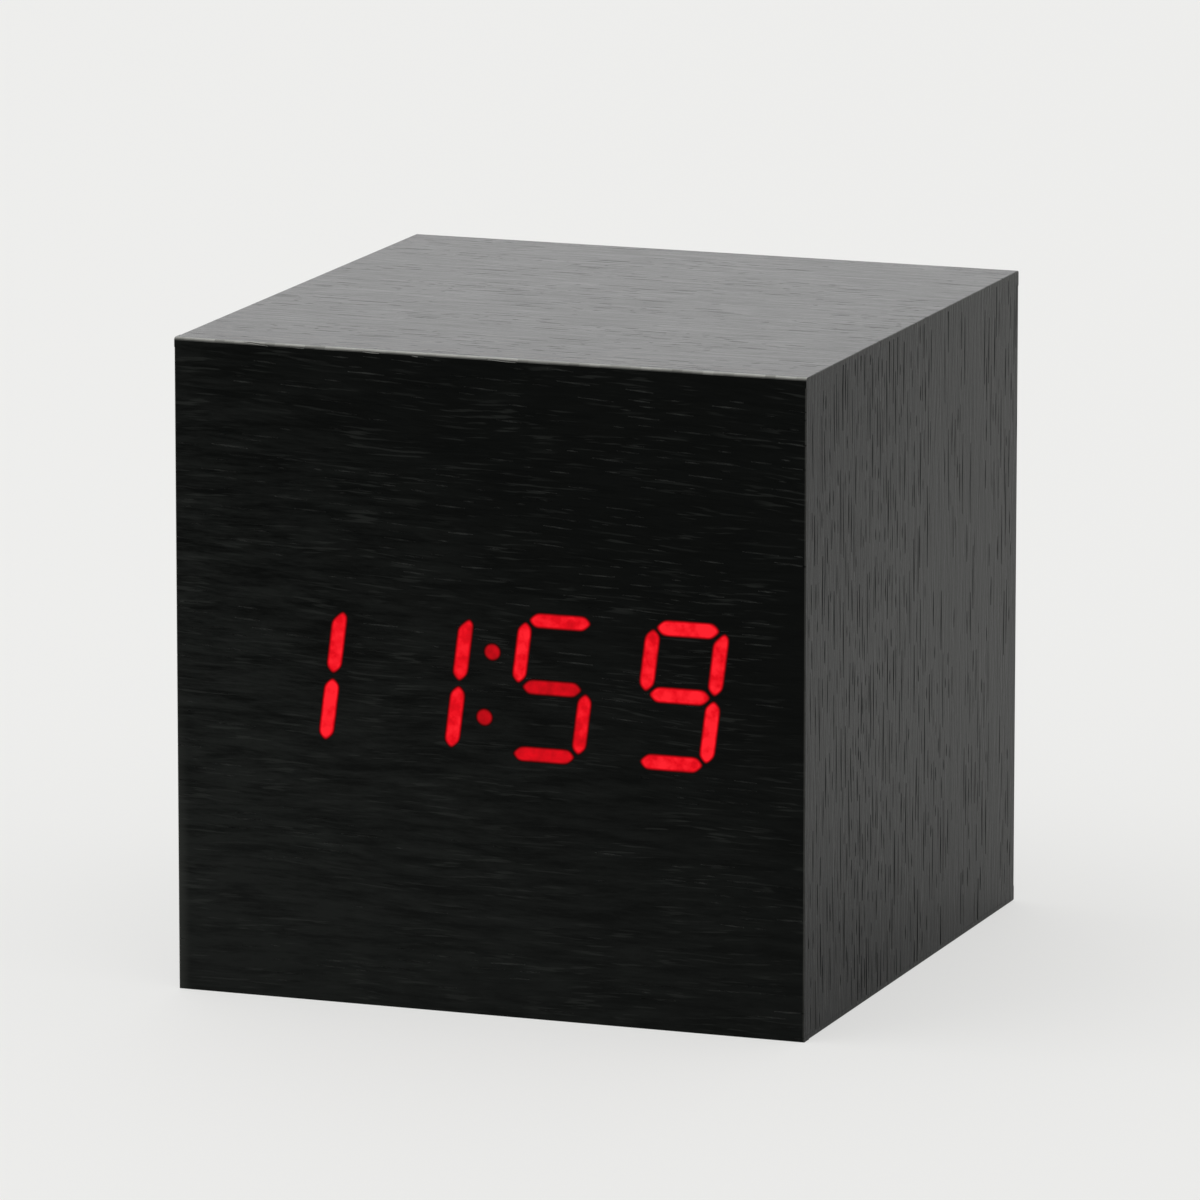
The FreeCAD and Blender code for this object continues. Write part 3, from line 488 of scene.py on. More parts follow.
digits = {
    "pitch": 12.5 * mm,
    "right": -0.12 * mm,  # of the middle of the board
    "up": 0.16 * mm,
    "climb": 0.18 * mm,  # from each digit to the next, because the display sits slightly askew
    "height": 12.7 * mm,  # between the middle lines of the top and bottom bars
    "width": 6.68 * mm,
    "slant": 7.3,  # degrees
    "stroke": 1.45 * mm,
    "levelInset": 0.21 * mm,
    "middleInset": 0.31 * mm,
    "topDrop": 0.07 * mm,
    "uprightInset": 0.16 * mm,
    "tipShift": 0.22 * mm,  # of the top of the upper right bar, outwards
    "softening": 7,  # rounds of smoothing that turn the pointed ends into round ones
    "sideCuts": 30,
    "tipCuts": 6,
    "dotDiameter": 1.55 * mm,
    "dotSpread": 6.2 * mm,
    "thickness": 0.5 * mm,
    # Steps across the blurred edge of a bar, outwards first, and how far the light has risen there.
    "fade": ((0.11 * mm, 0.0), (0.03 * mm, 0.09), (-0.05 * mm, 0.38), (-0.13 * mm, 0.76),
             (-0.22 * mm, 1.0)),
}

# The signs of the time, each with its bars, how bright they are and how far their light spreads.
signs = {
    "digit_1": {"place": 0, "spread": 0.0, "bars": {"b": 1.04, "c": 1.14}},
    "digit_2": {"place": 1, "spread": 0.0, "bars": {"b": 0.90, "c": 0.98}},
    "colon": {"place": 1.5, "spread": 0.0, "bars": {"upper dot": 0.62, "lower dot": 0.55}},
    "digit_3": {"place": 2, "spread": -0.045 * mm,
                "bars": {"a": 0.96, "f": 1.08, "g": 0.69, "c": 0.92, "d": 0.79}},
    "digit_4": {"place": 3, "spread": 0.0,
                "bars": {"a": 1.22, "b": 1.05, "f": 1.02, "g": 1.09, "c": 1.22, "d": 1.04}},
}

litColors = {
    "rim": (0.004, 0.0003, 0.0004),
    "red": (0.80, 0.0025, 0.010),
    "core": (1.00, 0.014, 0.025),
    "coreFrom": (0.95, 1.25),  # how bright the light is where the core color begins, and where it is full
    "grain": (0.0030, 0.0030, 0.0028),
    "specular": 0.03,
    "patch": 1.1 * mm,
    "patchiness": (0.78, 1.28),
}


def barCorners(letter, spread):
    # Six points round a bar with pointed ends, from the middle of its digit, spread outwards.
    half = digits["stroke"] / 2 + spread
    level = letter in "agd"
    if level:
        side = {"a": 1, "g": 0, "d": -1}[letter]
        reach = digits["width"] / 2 - digits["levelInset" if side else "middleInset"]
        centre = (0, side * digits["height"] / 2 - (digits["topDrop"] if side == 1 else 0))
    else:
        side = 1 if letter in "bc" else -1
        upper = 1 if letter in "bf" else -1
        reach = digits["height"] / 4 - digits["uprightInset"]
        centre = (side * digits["width"] / 2, upper * digits["height"] / 4)
    tip = digits["tipShift"] if letter == "b" else 0
    reach += spread * math.sqrt(2)
    points = [(-reach, 0), (half - reach, -half), (reach - half - tip, -half),
              (reach, tip), (reach - half + tip, half), (half - reach, half)]
    if not level:
        points = [(across, along) for along, across in points]
    return [(centre[0] + x, centre[1] + z) for x, z in points]


def leaned(x, z, place):
    lean = math.tan(math.radians(digits["slant"]))
    step = place - 1.5  # from the colon, which is in the middle
    return Vector((displayCentre.x + digits["right"] + digits["pitch"] * step + x + lean * z, frontY,
                   displayCentre.z + digits["up"] + digits["climb"] * step + z))


def outline(bar, place, spread):
    # Points round a bar or dot in the plane of the front, softened as the veneer softens the light.
    bm = bmesh.new()
    if "dot" in bar:
        up = digits["dotSpread"] / 2 if bar == "upper dot" else -digits["dotSpread"] / 2
        turned = Matrix.Translation(leaned(0, up, place)) @ Matrix.Rotation(math.radians(90), 4, "X")
        bmesh.ops.create_circle(bm, segments=40, radius=digits["dotDiameter"] / 2 + spread, matrix=turned)
    else:
        corners = [bm.verts.new(leaned(x, z, place)) for x, z in barCorners(bar, spread)]
        edges = [bm.edges.new((corners[spot - 1], corners[spot])) for spot in range(6)]
        sides = [edges[2], edges[5]]
        tips = [edge for edge in edges if edge not in sides]
        bmesh.ops.subdivide_edges(bm, edges=sides, cuts=digits["sideCuts"])
        bmesh.ops.subdivide_edges(bm, edges=tips, cuts=digits["tipCuts"])
        for turn in range(digits["softening"]):
            bmesh.ops.smooth_vert(bm, verts=bm.verts, factor=0.5, use_axis_x=True, use_axis_y=True,
                                  use_axis_z=True)
    face = bmesh.ops.contextual_create(bm, geom=bm.edges[:])["faces"][0]
    face.normal_update()
    points = [vert.co.copy() for vert in face.verts]
    if face.normal.y > 0:
        points.reverse()
    bm.free()
    return points


def litFaces(sign):
    # A flat face in the plane of the front for each bar.
    bm = bmesh.new()
    spread = digits["fade"][0][0] + sign["spread"]
    for bar in sign["bars"]:
        bm.faces.new([bm.verts.new(point) for point in outline(bar, sign["place"], spread)])
    return bm


def slab(bm, front, back):
    # Gives flat faces in the plane of the front a thickness, from front to back.
    fronts = list(bm.faces)
    bmesh.ops.translate(bm, vec=(0, front - frontY, 0), verts=bm.verts)
    thicken(bm, (0, back - front, 0))
    return fronts


def makeLitVeneer():
    material, tree, surface, place = newMaterial("lit veneer")
    glow = addNode(tree, "ShaderNodeAttribute", attribute_name="glow").outputs["Fac"]
    patches = layNoise(tree, place, 1 / litColors["patch"], 3.0)
    share = calculate(tree, "MULTIPLY", glow, vary(tree, patches, *litColors["patchiness"]))
    color = blend(tree, share, litColors["rim"], litColors["red"])
    grain = placeGroup(tree, grainGroup, Vector=grainAxes(tree, place, "XZY"), Seed=0.31)
    fill(tree, surface, {
        "Emission Color": blend(tree, remap(tree, share, *litColors["coreFrom"]), color, litColors["core"]),
        "Emission Strength": 1.0,
        "Base Color": blend(tree, grain["Hairs"], blackVeneer["woodColor"], litColors["grain"]),
        "Roughness": blackVeneer["roughness"],
        "Specular IOR Level": litColors["specular"],
        "Normal": bump(tree, grain["Height"], blackVeneer["reliefDepth"]),
    })
    return material


litVeneer = makeLitVeneer()
for name, sign in signs.items():
    bm = litFaces(sign)
    fronts = slab(bm, frontY, frontY + digits["thickness"])
    glow = bm.verts.layers.float.new("glow")
    for spread, rise in digits["fade"][1:]:
        bmesh.ops.inset_individual(bm, faces=fronts, thickness=hair)
        for face, (bar, brightness) in zip(fronts, sign["bars"].items()):
            for vert, point in zip(face.verts, outline(bar, sign["place"], spread + sign["spread"])):
                vert.co = point
                vert[glow] = rise * brightness
    finishPiece(bm, name, [litVeneer], "case")
print("digits lit")

# The veneer sheets, with their pores, worn edges and the painted highlight along the front top edge.

sheets = {
    "pitch": 1.0 * mm,
    "frontRounding": 0.28 * mm,  # between the front and the top
    "edgeRounding": 0.12 * mm,  # along the other edges of the cube
    "jointRounding": 0.02 * mm,  # where two sheets meet flush
    "chipDepth": 0.05 * mm,
    "chipLength": 1.6 * mm,
    "chipFrom": 0.2,  # how strong the noise is where the edge begins to chip
    "wearAndHighlightPatches": (2.5 * mm, 0.7 * mm),  # sizes of the large and small patches that the edge wear and painted highlight come in
}

vessels = {
    "sides": 6,
    "depth": 0.14 * mm,
    "deepFrom": 0.13 * mm,  # narrower pores are shallower
    "above": 0.05 * mm,  # how far the cutters stand out of the sheet
    "row": 0.36 * mm,
    "gap": 0.20 * mm,
    "sway": 0.35 * mm,
    "swaySize": (11 * mm, 6 * mm),  # along and across the grain
    "zoneSize": (24 * mm, 5 * mm),  # of the crowded and the empty places
}

# How much pale color shows along the veneer's edges, as edge wear and painted highlight, by the two faces
# that meet there.
wearAndHighlightByEdge = {"front top": 0.74, "front right": 0.05, "top right": 0.07, "front left": 0.04,
              "top left": 0.05}


def sheetMesh(node, outward, grain, sharpSides):
    # A grid on the outer face, its rim folded back and its edges rounded.
    # sharpSides are the directions in which the sheet meets its neighbour in a flush joint.
    low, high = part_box(node)
    outward, grain = Vector(outward), Vector(grain)
    extent = high - low
    length, width, depth = (abs(extent.dot(axis)) for axis in (grain, outward.cross(grain), outward))
    turn = grainTurn(grain, outward)
    centre = (low + high) / 2 + outward * depth / 2
    bm = bmesh.new()
    bmesh.ops.create_grid(bm, x_segments=round(length / sheets["pitch"]),
                          y_segments=round(width / sheets["pitch"]), size=0.5)
    bmesh.ops.scale(bm, vec=(length, width, 1), verts=bm.verts)
    rim = [edge for edge in bm.edges if edge.is_boundary]
    folded = bmesh.ops.extrude_edge_only(bm, edges=rim)["geom"]
    lower = [part for part in folded if isinstance(part, bmesh.types.BMVert)]
    bmesh.ops.translate(bm, vec=(0, 0, -depth), verts=lower)
    bmesh.ops.holes_fill(bm, edges=[edge for edge in bm.edges if edge.is_boundary], sides=0)
    bmesh.ops.recalc_face_normals(bm, faces=bm.faces)
    inJoint = [turn.to_3x3().inverted() @ Vector(side) for side in sharpSides]
    joined, upper, rounded = [], [], []
    for edge in bm.edges:
        if all(abs(vert.co.z) < hair for vert in edge.verts) and isCorner(edge):
            middle = (edge.verts[0].co + edge.verts[1].co) / 2
            outermost = Vector((middle.x / length, middle.y / width, 0))
            if any(outermost.dot(side) > 0.499 for side in inJoint):
                joined.append(edge)
            elif outward.y < -0.5 and (centre + turn.to_3x3() @ middle).z > topZ - hair:
                upper.append(edge)
            else:
                rounded.append(edge)
    for edges, size in ((joined, sheets["jointRounding"]), (upper, sheets["frontRounding"]),
                        (rounded, sheets["edgeRounding"])):
        edges = [edge for edge in edges if edge.is_valid]
        if edges:
            roundEdges(bm, edges, size)
    bmesh.ops.transform(bm, matrix=Matrix.Translation(centre) @ turn, verts=bm.verts)
    for vert in bm.verts:
        # Only the points between the front and the top move, so both faces stay flat.
        out = vert.co - cubeCentre
        near, far = sorted((-out.y, out.z))
        if near > halfCube - sheets["frontRounding"] and far < halfCube - hair:
            chip = max(0.0, noise.noise(vert.co / sheets["chipLength"]) - sheets["chipFrom"])
            vert.co += Vector((0, 1, -1)) * sheets["chipDepth"] * chip
    return bm, turn, centre, length, width


def markWearAndHighlight(bm):
    # Marks pale edge wear and painted highlight on the rounded edges of the cube, by the two faces that
    # meet there.
    wearAndHighlight = bm.faces.layers.float.new("wearAndHighlight")
    names = {(1, -1.0): "front", (2, 1.0): "top", (0, 1.0): "right", (0, -1.0): "left"}
    near = halfCube - 1.3 * sheets["frontRounding"]  # takes in the whole rounding
    large, small = sheets["wearAndHighlightPatches"]
    for face in bm.faces:
        if max(abs(part) for part in face.normal) > 0.998:
            continue  # a flat face
        place = face.calc_center_median()
        away = place - cubeCentre
        met = [names.get((axis, math.copysign(1, away[axis])), "") for axis in range(3)
               if abs(away[axis]) > near]
        for edge, amount in wearAndHighlightByEdge.items():
            if all(side in met for side in edge.split()):
                drift = noise.noise(place / large) + 0.6 * noise.noise(place / small)
                # Painted highlight: along the front top edge the pale color grows as the rounding turns
                # upwards, towards the light.
                if edge == "front top":
                    amount *= max(0.0, face.normal.z) ** 1.2
                face[wearAndHighlight] = amount * min(1.0, max(0.3, 0.9 + 0.5 * drift))


def vesselPlan(length, width, wood):
    # Places along and across the grain, with each pore's length and width, none touching another.
    dice = random.Random(wood["seed"])
    rows, plan = {}, []
    shortest, longest = wood["length"]
    thin, thick = wood["width"]
    middle, spread = wood["dense"]
    zoneLength, zoneWidth = vessels["zoneSize"]
    for family in range(wood["amount"] * 3):
        start, level = dice.uniform(-0.5, 0.5) * length, dice.uniform(-0.5, 0.5) * width
        zone = noise.noise(Vector((level / zoneWidth, start / zoneLength, wood["seed"])))
        belt = math.exp(-(((level / width - middle) / spread) ** 2))
        if dice.random() > wood["base"] + wood["crowding"] * zone + wood["belt"] * belt:
            continue
        for member in range(dice.randint(*wood["family"])):
            along = start + dice.gauss(0, wood["scatter"][0])
            over = level + dice.gauss(0, wood["scatter"][1])
            size = dice.random() ** wood["rarity"]
            slim = dice.random()
            reach = shortest + (longest - shortest) * size
            row = round(over / vessels["row"])
            span = (along - reach / 2 - vessels["gap"], along + reach / 2 + vessels["gap"])
            touching = any(span[0] < end and start < span[1] for near in (row - 1, row, row + 1)
                           for start, end in rows.get(near, ()))
            if touching or abs(over) > width / 2 or abs(along) > length / 2:
                continue
            rows.setdefault(row, []).append(span)
            # Long pores are mostly wide ones.
            plan.append((along, over, reach, thin + (thick - thin) * (0.35 * size + 0.65 * slim)))
        if len(plan) >= wood["amount"]:
            break
    return plan


def vesselCutter(plan, turn, centre, slope, seed):
    # One slim boat-shaped cutter for each pore of the plan.
    bm = bmesh.new()
    bmesh.ops.create_circle(bm, cap_ends=True, segments=vessels["sides"], radius=1)
    bmesh.ops.scale(bm, vec=(0.8, 0.4, 1), verts=thicken(bm, (0, 0, -1)))
    boat = bpy.data.meshes.new("boat")
    bm.to_mesh(boat)
    size = len(bm.verts)
    for copy in range(len(plan) - 1):
        bm.from_mesh(boat)
    bpy.data.meshes.remove(boat)
    swayLength, swayWidth = vessels["swaySize"]
    for count, vert in enumerate(bm.verts):
        along, over, reach, thick = plan[count // size]
        x, y, z = vert.co
        a = along + x * reach / 2
        sway = noise.noise(Vector((a / swayLength, over / swayWidth, seed + 3)))
        rise = blackVeneer["slopeRise"] * (0.5 + over / (2 * halfCube))
        b = over + y * thick / 2 + slope * rise * a + vessels["sway"] * sway
        c = -vessels["depth"] * min(1.0, thick / vessels["deepFrom"]) if z < -0.5 else vessels["above"]
        vert.co = Vector((a, b, c))
    bmesh.ops.transform(bm, matrix=Matrix.Translation(centre) @ turn, verts=bm.verts)
    bmesh.ops.recalc_face_normals(bm, faces=bm.faces)
    return bm


quietWood = {"amount": 560, "length": (0.5 * mm, 5.0 * mm), "width": (0.06 * mm, 0.15 * mm), "rarity": 2.0,
             "family": (2, 6), "scatter": (2.2 * mm, 0.8 * mm), "base": 0.35, "crowding": 1.6,
             "belt": 0.0, "dense": (0.0, 1.0), "slope": 0.012, "seed": 5}
frontWood = {**quietWood, "amount": 400, "length": (1.0 * mm, 4.6 * mm), "width": (0.09 * mm, 0.20 * mm),
             "rarity": 1.5, "scatter": (2.0 * mm, 0.7 * mm), "base": 0.05, "crowding": 2.0,
             "belt": 0.6, "dense": (0.32, 0.22), "slope": -0.05, "seed": 3}
strongWood = {"amount": 520, "length": (1.2 * mm, 10 * mm), "width": (0.11 * mm, 0.34 * mm), "rarity": 1.3,
              "family": (5, 12), "scatter": (5.0 * mm, 0.7 * mm), "base": 0.03, "crowding": 0.9,
              "belt": 0.9, "dense": (0.20, 0.17), "slope": 0.012, "seed": 21}
front, up, down = (0, -1, 0), (0, 0, 1), (0, 0, -1)
sheetPlans = {
    # outward, along the grain, sides with a flush joint, wood
    "front_sheet": (front, (1, 0, 0), (), frontWood),
    "top_sheet": (up, (1, 0, 0), (front,), {**quietWood, "amount": 480, "base": 0.2, "crowding": 2.0}),
    "bottom_sheet": (down, (1, 0, 0), (front,), {**quietWood, "seed": 8}),
    "left_sheet": ((-1, 0, 0), up, (front, up, down), {**strongWood, "dense": (-0.2, 0.3), "seed": 13}),
    "right_sheet": ((1, 0, 0), up, (front, up, down), strongWood),
}

# How each face is coloured: the pale color of its painted sheen over the stain, how much the fine hairs
# show, how mottled the stain and its painted sheen are, from one side of the grain to the other, and how
# much painted sheen lies half way along the grain.
plainLook = {"slope": 0.0, "poreColor": (0.0012, 0.0012, 0.0012), "mottling": (0.5, 0.5), "middleSheen": 0.0,
             "sheenStart": -1}
faceLooks = {
    # The front's pale pores and lighter hairs are painted highlights along the pores' rims.
    "front": {"seed": 0.31, "slope": 0.03, "poreColor": (0.072, 0.076, 0.072), "hairs": 0.28,
              "hairColor": (0.036, 0.039, 0.036), "relief": 1.0, "specular": 0.057, "mottling": (0.4, 1.35),
              "middleSheen": 0.0,
              "sheenColor": (0.0110, 0.0124, 0.0114), "sheenTowards": (-0.52, -0.74), "sheenStart": -0.5},
    "top": {**plainLook, "seed": 4.72, "hairs": 0.4, "hairColor": (0.0006, 0.0006, 0.0006), "relief": 1.2,
            "specular": 0.09, "sheenColor": (0.0050, 0.0052, 0.0048), "sheenTowards": (-0.5, -0.5)},
    # The sides' lighter hairs are painted highlights along the pores.
    "sides": {**plainLook, "seed": 9.13, "hairs": 0.5, "hairColor": (0.045, 0.045, 0.042), "relief": 2.2,
              "specular": 0.102, "middleSheen": 0.55, "sheenColor": (0.0310, 0.0312, 0.0300),
              "sheenTowards": (0.5, 0.9)},
    "back": {**plainLook, "seed": 2.60, "hairs": 0.3, "hairColor": (0.020, 0.020, 0.019), "relief": 1.0,
             "specular": 0.09, "sheenColor": (0.0110, 0.0112, 0.0105), "sheenTowards": (-0.5, 0.5)},
}
# Each side of the cube has its own copy of the veneer, which differ in their painted sheen and painted
# highlights as well as in grain, relief and shine.
frontVeneer = makeVeneer("black veneer, front", "XZY", faceLooks["front"])
topVeneer = makeVeneer("black veneer, top", "XYZ", faceLooks["top"])
sideVeneer = makeVeneer("black veneer, sides", "ZYX", faceLooks["sides"])
woods = [sideVeneer, frontVeneer, topVeneer]


def litSlots():
    cutters = []
    for sign in signs.values():
        faces = litFaces(sign)
        slab(faces, frontY - 1 * mm, frontY + 1 * mm)
        cutters.append(faces)
    return gather(cutters)


def coverFaces(piece):
    # Each outer face takes the wood of its own side of the cube, also on another sheet's edge.
    for polygon in piece.data.polygons:
        away = polygon.center - cubeCentre
        for axis in range(3):
            if abs(abs(away[axis]) - halfCube) < hair and abs(polygon.normal[axis]) > 0.9:
                polygon.material_index = 1 + axis


for name, (outward, grain, joints, wood) in sheetPlans.items():
    node = name.replace("sheet", "veneer")
    bm, turn, centre, length, width = sheetMesh(node, outward, grain, joints)
    if name == "front_sheet":
        bm = cutOut(bm, litSlots())
    pores = vesselPlan(length, width, wood)
    bm = cutOut(bm, vesselCutter(pores, turn, centre, wood["slope"], wood["seed"]))
    markWearAndHighlight(bm)
    axis = [abs(part) for part in outward].index(1)
    coverFaces(finishPiece(bm, name, [woods[axis], *woods], "case", (node,), sharpAngle=6))
    print(name, "laid with", len(pores), "pores")

# The veneer edging round the back, in four strips that meet in mitres.

backFrame = {"rounding": 0.12 * mm, "pores": 70, "poreMargin": 0.4 * mm, "seed": 31}
backStrips = (
    # along the grain, inwards
    ((1, 0, 0), down),
    ((1, 0, 0), up),
    (up, (1, 0, 0)),
    (up, (-1, 0, 0)),
)


def frameMesh():
    low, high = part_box("back_edging")
    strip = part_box("left_board")[1].x - low.x
    size = high.x - low.x
    bm = bmesh.new()
    middle = Matrix.Translation((0, high.y, (low.z + high.z) / 2))
    turned = middle @ Matrix.Rotation(math.radians(-90), 4, "X")
    bmesh.ops.create_grid(bm, x_segments=1, y_segments=1, size=size / 2, matrix=turned)
    outer = list(bm.faces)
    bmesh.ops.inset_region(bm, faces=outer, thickness=strip, use_boundary=True, use_even_offset=True)
    bmesh.ops.delete(bm, geom=outer, context="FACES_ONLY")
    thicken(bm, (0, low.y - high.y, 0))
    corners = [edge for edge in bm.edges
               if isCorner(edge) and all(vert.co.y > high.y - hair for vert in edge.verts)]
    roundEdges(bm, corners, backFrame["rounding"], 3)
    return bm, size, strip


frameVeneer = makeVeneer("black veneer, back", "XZY", faceLooks["back"], mitred=True)
bm, size, strip = frameMesh()
for spot, (grain, inward) in enumerate(backStrips):
    seed = backFrame["seed"] + spot
    centre = Vector((0, halfCube, cubeCentre.z)) - Vector(inward) * (size - strip) / 2
    plan = vesselPlan(size, strip, {**quietWood, "amount": backFrame["pores"], "seed": seed})
    plan = [pore for pore in plan if abs(pore[1]) < strip / 2 - backFrame["poreMargin"]
            and abs(pore[0]) + pore[2] / 2 < size / 2 - strip]
    turn = grainTurn(Vector(grain), Vector((0, 1, 0)))
    bm = cutOut(bm, vesselCutter(plan, turn, centre, 0.0, seed))
finishPiece(bm, "back_frame", [frameVeneer], "case", ("back_edging",), sharpAngle=6)
print("back frame laid")

# Moulded plastic.


def makeMouldGroup():
    # The fine matt texture of a spark-eroded mould.
    group, given, result = newGroup("moulded texture", {"Vector": None, "Size": 0.1 * mm},
                                    ("Height", "Tone"))
    grit = layNoise(group, given["Vector"], calculate(group, "DIVIDE", 1.0, given["Size"]), 3.0)
    drift = layNoise(group, given["Vector"], 1 / (9 * mm), 4.0)
    fill(group, result, {"Height": grit, "Tone": drift})
    return group


mouldGroup = makeMouldGroup()

plastics = {
    # base color, roughness, specular level, size and depth of the texture in mm
    "case_plastic": ((0.012, 0.012, 0.0125), 0.46, 0.40, 0.16, 0.012),
    "key_plastic": ((0.020, 0.020, 0.021), 0.34, 0.45, 0.10, 0.004),
    "white_plastic": ((0.80, 0.80, 0.78), 0.45, 0.45, 0.15, 0.004),
    "chip_plastic": ((0.022, 0.022, 0.024), 0.55, 0.40, 0.10, 0.010),
    "red_sleeve": ((0.50, 0.015, 0.015), 0.40, 0.50, 0.30, 0.003),
    "black_sleeve": ((0.018, 0.018, 0.018), 0.40, 0.50, 0.30, 0.003),
    "ribbon_grey": ((0.40, 0.41, 0.43), 0.45, 0.45, 0.30, 0.003),
    "diffuser": ((0.82, 0.82, 0.80), 0.55, 0.30, 0.08, 0.003),
}


def makePlastic(slot):
    color, roughness, specular, size, depth = plastics[slot]
    material, tree, surface, place = newMaterial("moulded " + slot.replace("_", " "))
    texture = placeGroup(tree, mouldGroup, Vector=place, Size=size * mm)
    pale = tuple(min(0.9, part * 1.25 + 0.001) for part in color)
    fill(tree, surface, {
        "Base Color": blend(tree, texture["Tone"], color, pale),
        "Roughness": vary(tree, texture["Tone"], roughness - 0.04, roughness + 0.05),
        "Specular IOR Level": specular,
        "Normal": bump(tree, texture["Height"], depth * mm),
    })
    return material


# Metals, boards and inner wood.


def makeMetalGroup():
    # Drawn or plated metal: fine lines, smudges and a few dull spots.
    group, given, result = newGroup("drawn metal", {"Vector": None}, ("Lines", "Smudges", "Dull"))
    fill(group, result, {
        "Lines": layNoise(group, given["Vector"], (9000, 600, 9000), 2.0),
        "Smudges": layNoise(group, given["Vector"], 350.0, 3.0),
        "Dull": remap(group, layNoise(group, given["Vector"], 1600.0, 2.0), 0.58, 0.72),
    })
    return group


metalGroup = makeMetalGroup()

metals = {
    # base color, dull color, roughness
    "plated_steel": ((0.62, 0.61, 0.58), (0.40, 0.38, 0.35), 0.26),
    "screw_steel": ((0.10, 0.10, 0.10), (0.045, 0.043, 0.042), 0.36),
    "cell_can": ((0.33, 0.34, 0.36), (0.24, 0.25, 0.27), 0.24),
}


def makeMetal(slot):
    color, dull, roughness = metals[slot]
    material, tree, surface, place = newMaterial("drawn " + slot.replace("_", " "))
    wear = placeGroup(tree, metalGroup, Vector=place)
    fill(tree, surface, {
        "Base Color": blend(tree, calculate(tree, "MULTIPLY", wear["Dull"], 0.5), color, dull),
        "Roughness": vary(tree, wear["Smudges"], roughness - 0.07, roughness + 0.12),
        "Metallic": 1.0,
        "Normal": bump(tree, wear["Lines"], 0.002 * mm),
    })
    return material


cellFilm = {"film": (0.26, 0.27, 0.29), "flakes": (0.40, 0.41, 0.43), "smudges": (0.20, 0.21, 0.23),
            "roughness": (0.34, 0.44), "metallic": 0.35, "depth": 0.02 * mm}


def makeCellWrap():
    # The plain shrink film round a cell, with a fine metal flake.
    material, tree, surface, place = newMaterial("cell wrap")
    drift = layNoise(tree, place, (120, 500, 500), 3.0)
    film = blend(tree, layNoise(tree, place, 6000.0, 2.0), cellFilm["film"], cellFilm["flakes"])
    fill(tree, surface, {
        "Base Color": blend(tree, calculate(tree, "MULTIPLY", drift, 0.25), film, cellFilm["smudges"]),
        "Roughness": vary(tree, drift, *cellFilm["roughness"]),
        "Metallic": cellFilm["metallic"],
        "Normal": bump(tree, drift, cellFilm["depth"]),
    })
    return material


fibreboard = {"dark": (0.27, 0.18, 0.10), "pale": (0.45, 0.32, 0.20), "shreds": (0.13, 0.08, 0.04),
              "shredShare": 0.55, "roughness": (0.78, 0.92), "specular": 0.2, "depth": 0.06 * mm}


def makeFibreboard():
    # Pressed wood fibre, with darker shreds.
    material, tree, surface, place = newMaterial("pressed fibreboard")
    felt = layNoise(tree, place, 2600.0, 4.0)
    shreds = remap(tree, layNoise(tree, place, (900, 900, 3400), 2.0), 0.58, 0.68)
    wood = blend(tree, vary(tree, felt), fibreboard["dark"], fibreboard["pale"])
    share = calculate(tree, "MULTIPLY", shreds, fibreboard["shredShare"])
    fill(tree, surface, {
        "Base Color": blend(tree, share, wood, fibreboard["shreds"]),
        "Roughness": vary(tree, felt, *fibreboard["roughness"]),
        "Specular IOR Level": fibreboard["specular"],
        "Normal": bump(tree, felt, fibreboard["depth"]),
    })
    return material


softwood = {"early": (0.62, 0.46, 0.26), "late": (0.42, 0.26, 0.12), "fibres": (0.34, 0.21, 0.10),
            "rings": 9.0, "roughness": (0.62, 0.78), "specular": 0.25, "depth": 0.05 * mm}


def makeSoftwood():
    # Sawn pine, with its rings running along the blocks.
    material, tree, surface, place = newMaterial("sawn softwood")
    rings = calculate(tree, "MULTIPLY", layNoise(tree, place, (420, 420, 18), 2.0), softwood["rings"])
    wood = blend(tree, calculate(tree, "PINGPONG", rings, 1.0), softwood["early"], softwood["late"])
    fibre = layNoise(tree, place, (5200, 5200, 240), 3.0)
    fill(tree, surface, {
        "Base Color": blend(tree, calculate(tree, "MULTIPLY", fibre, 0.3), wood, softwood["fibres"]),
        "Roughness": vary(tree, fibre, *softwood["roughness"]),
        "Specular IOR Level": softwood["specular"],
        "Normal": bump(tree, fibre, softwood["depth"]),
    })
    return material


solderMask = {"green": (0.014, 0.13, 0.055), "pale": (0.024, 0.18, 0.080), "track": (0.045, 0.26, 0.11),
              "patch": 4.5 * mm, "trackPitch": 0.4 * mm, "trackEdge": (0.17 * mm, 0.21 * mm),
              "bare": 0.35, "roughness": (0.26, 0.36), "depth": 0.02 * mm}


def makeBoardGreen():
    # Green solder mask over copper tracks that run level or upright.
    material, tree, surface, place = newMaterial("green solder mask")
    patch = addNode(tree, "ShaderNodeTexVoronoi", voronoi_dimensions="3D", distance="CHEBYCHEV")
    fill(tree, patch.inputs, {"Vector": place, "Scale": 1 / solderMask["patch"]})
    pick = addNode(tree, "ShaderNodeSeparateColor", patch.outputs["Color"]).outputs
    parts = split(tree, place)
    across = blend(tree, calculate(tree, "GREATER_THAN", pick[0], 0.5), parts["X"], parts["Z"], "FLOAT")
    step = calculate(tree, "PINGPONG", across, solderMask["trackPitch"])
    track = calculate(tree, "MULTIPLY", remap(tree, step, *solderMask["trackEdge"]),
                      calculate(tree, "GREATER_THAN", pick[1], solderMask["bare"]))
    weave = layNoise(tree, place, 1500.0, 2.0)
    green = blend(tree, weave, solderMask["green"], solderMask["pale"])
    fill(tree, surface, {
        "Base Color": blend(tree, track, green, solderMask["track"]),
        "Roughness": vary(tree, weave, *solderMask["roughness"]),
        "Normal": bump(tree, track, solderMask["depth"]),
    })
    return material


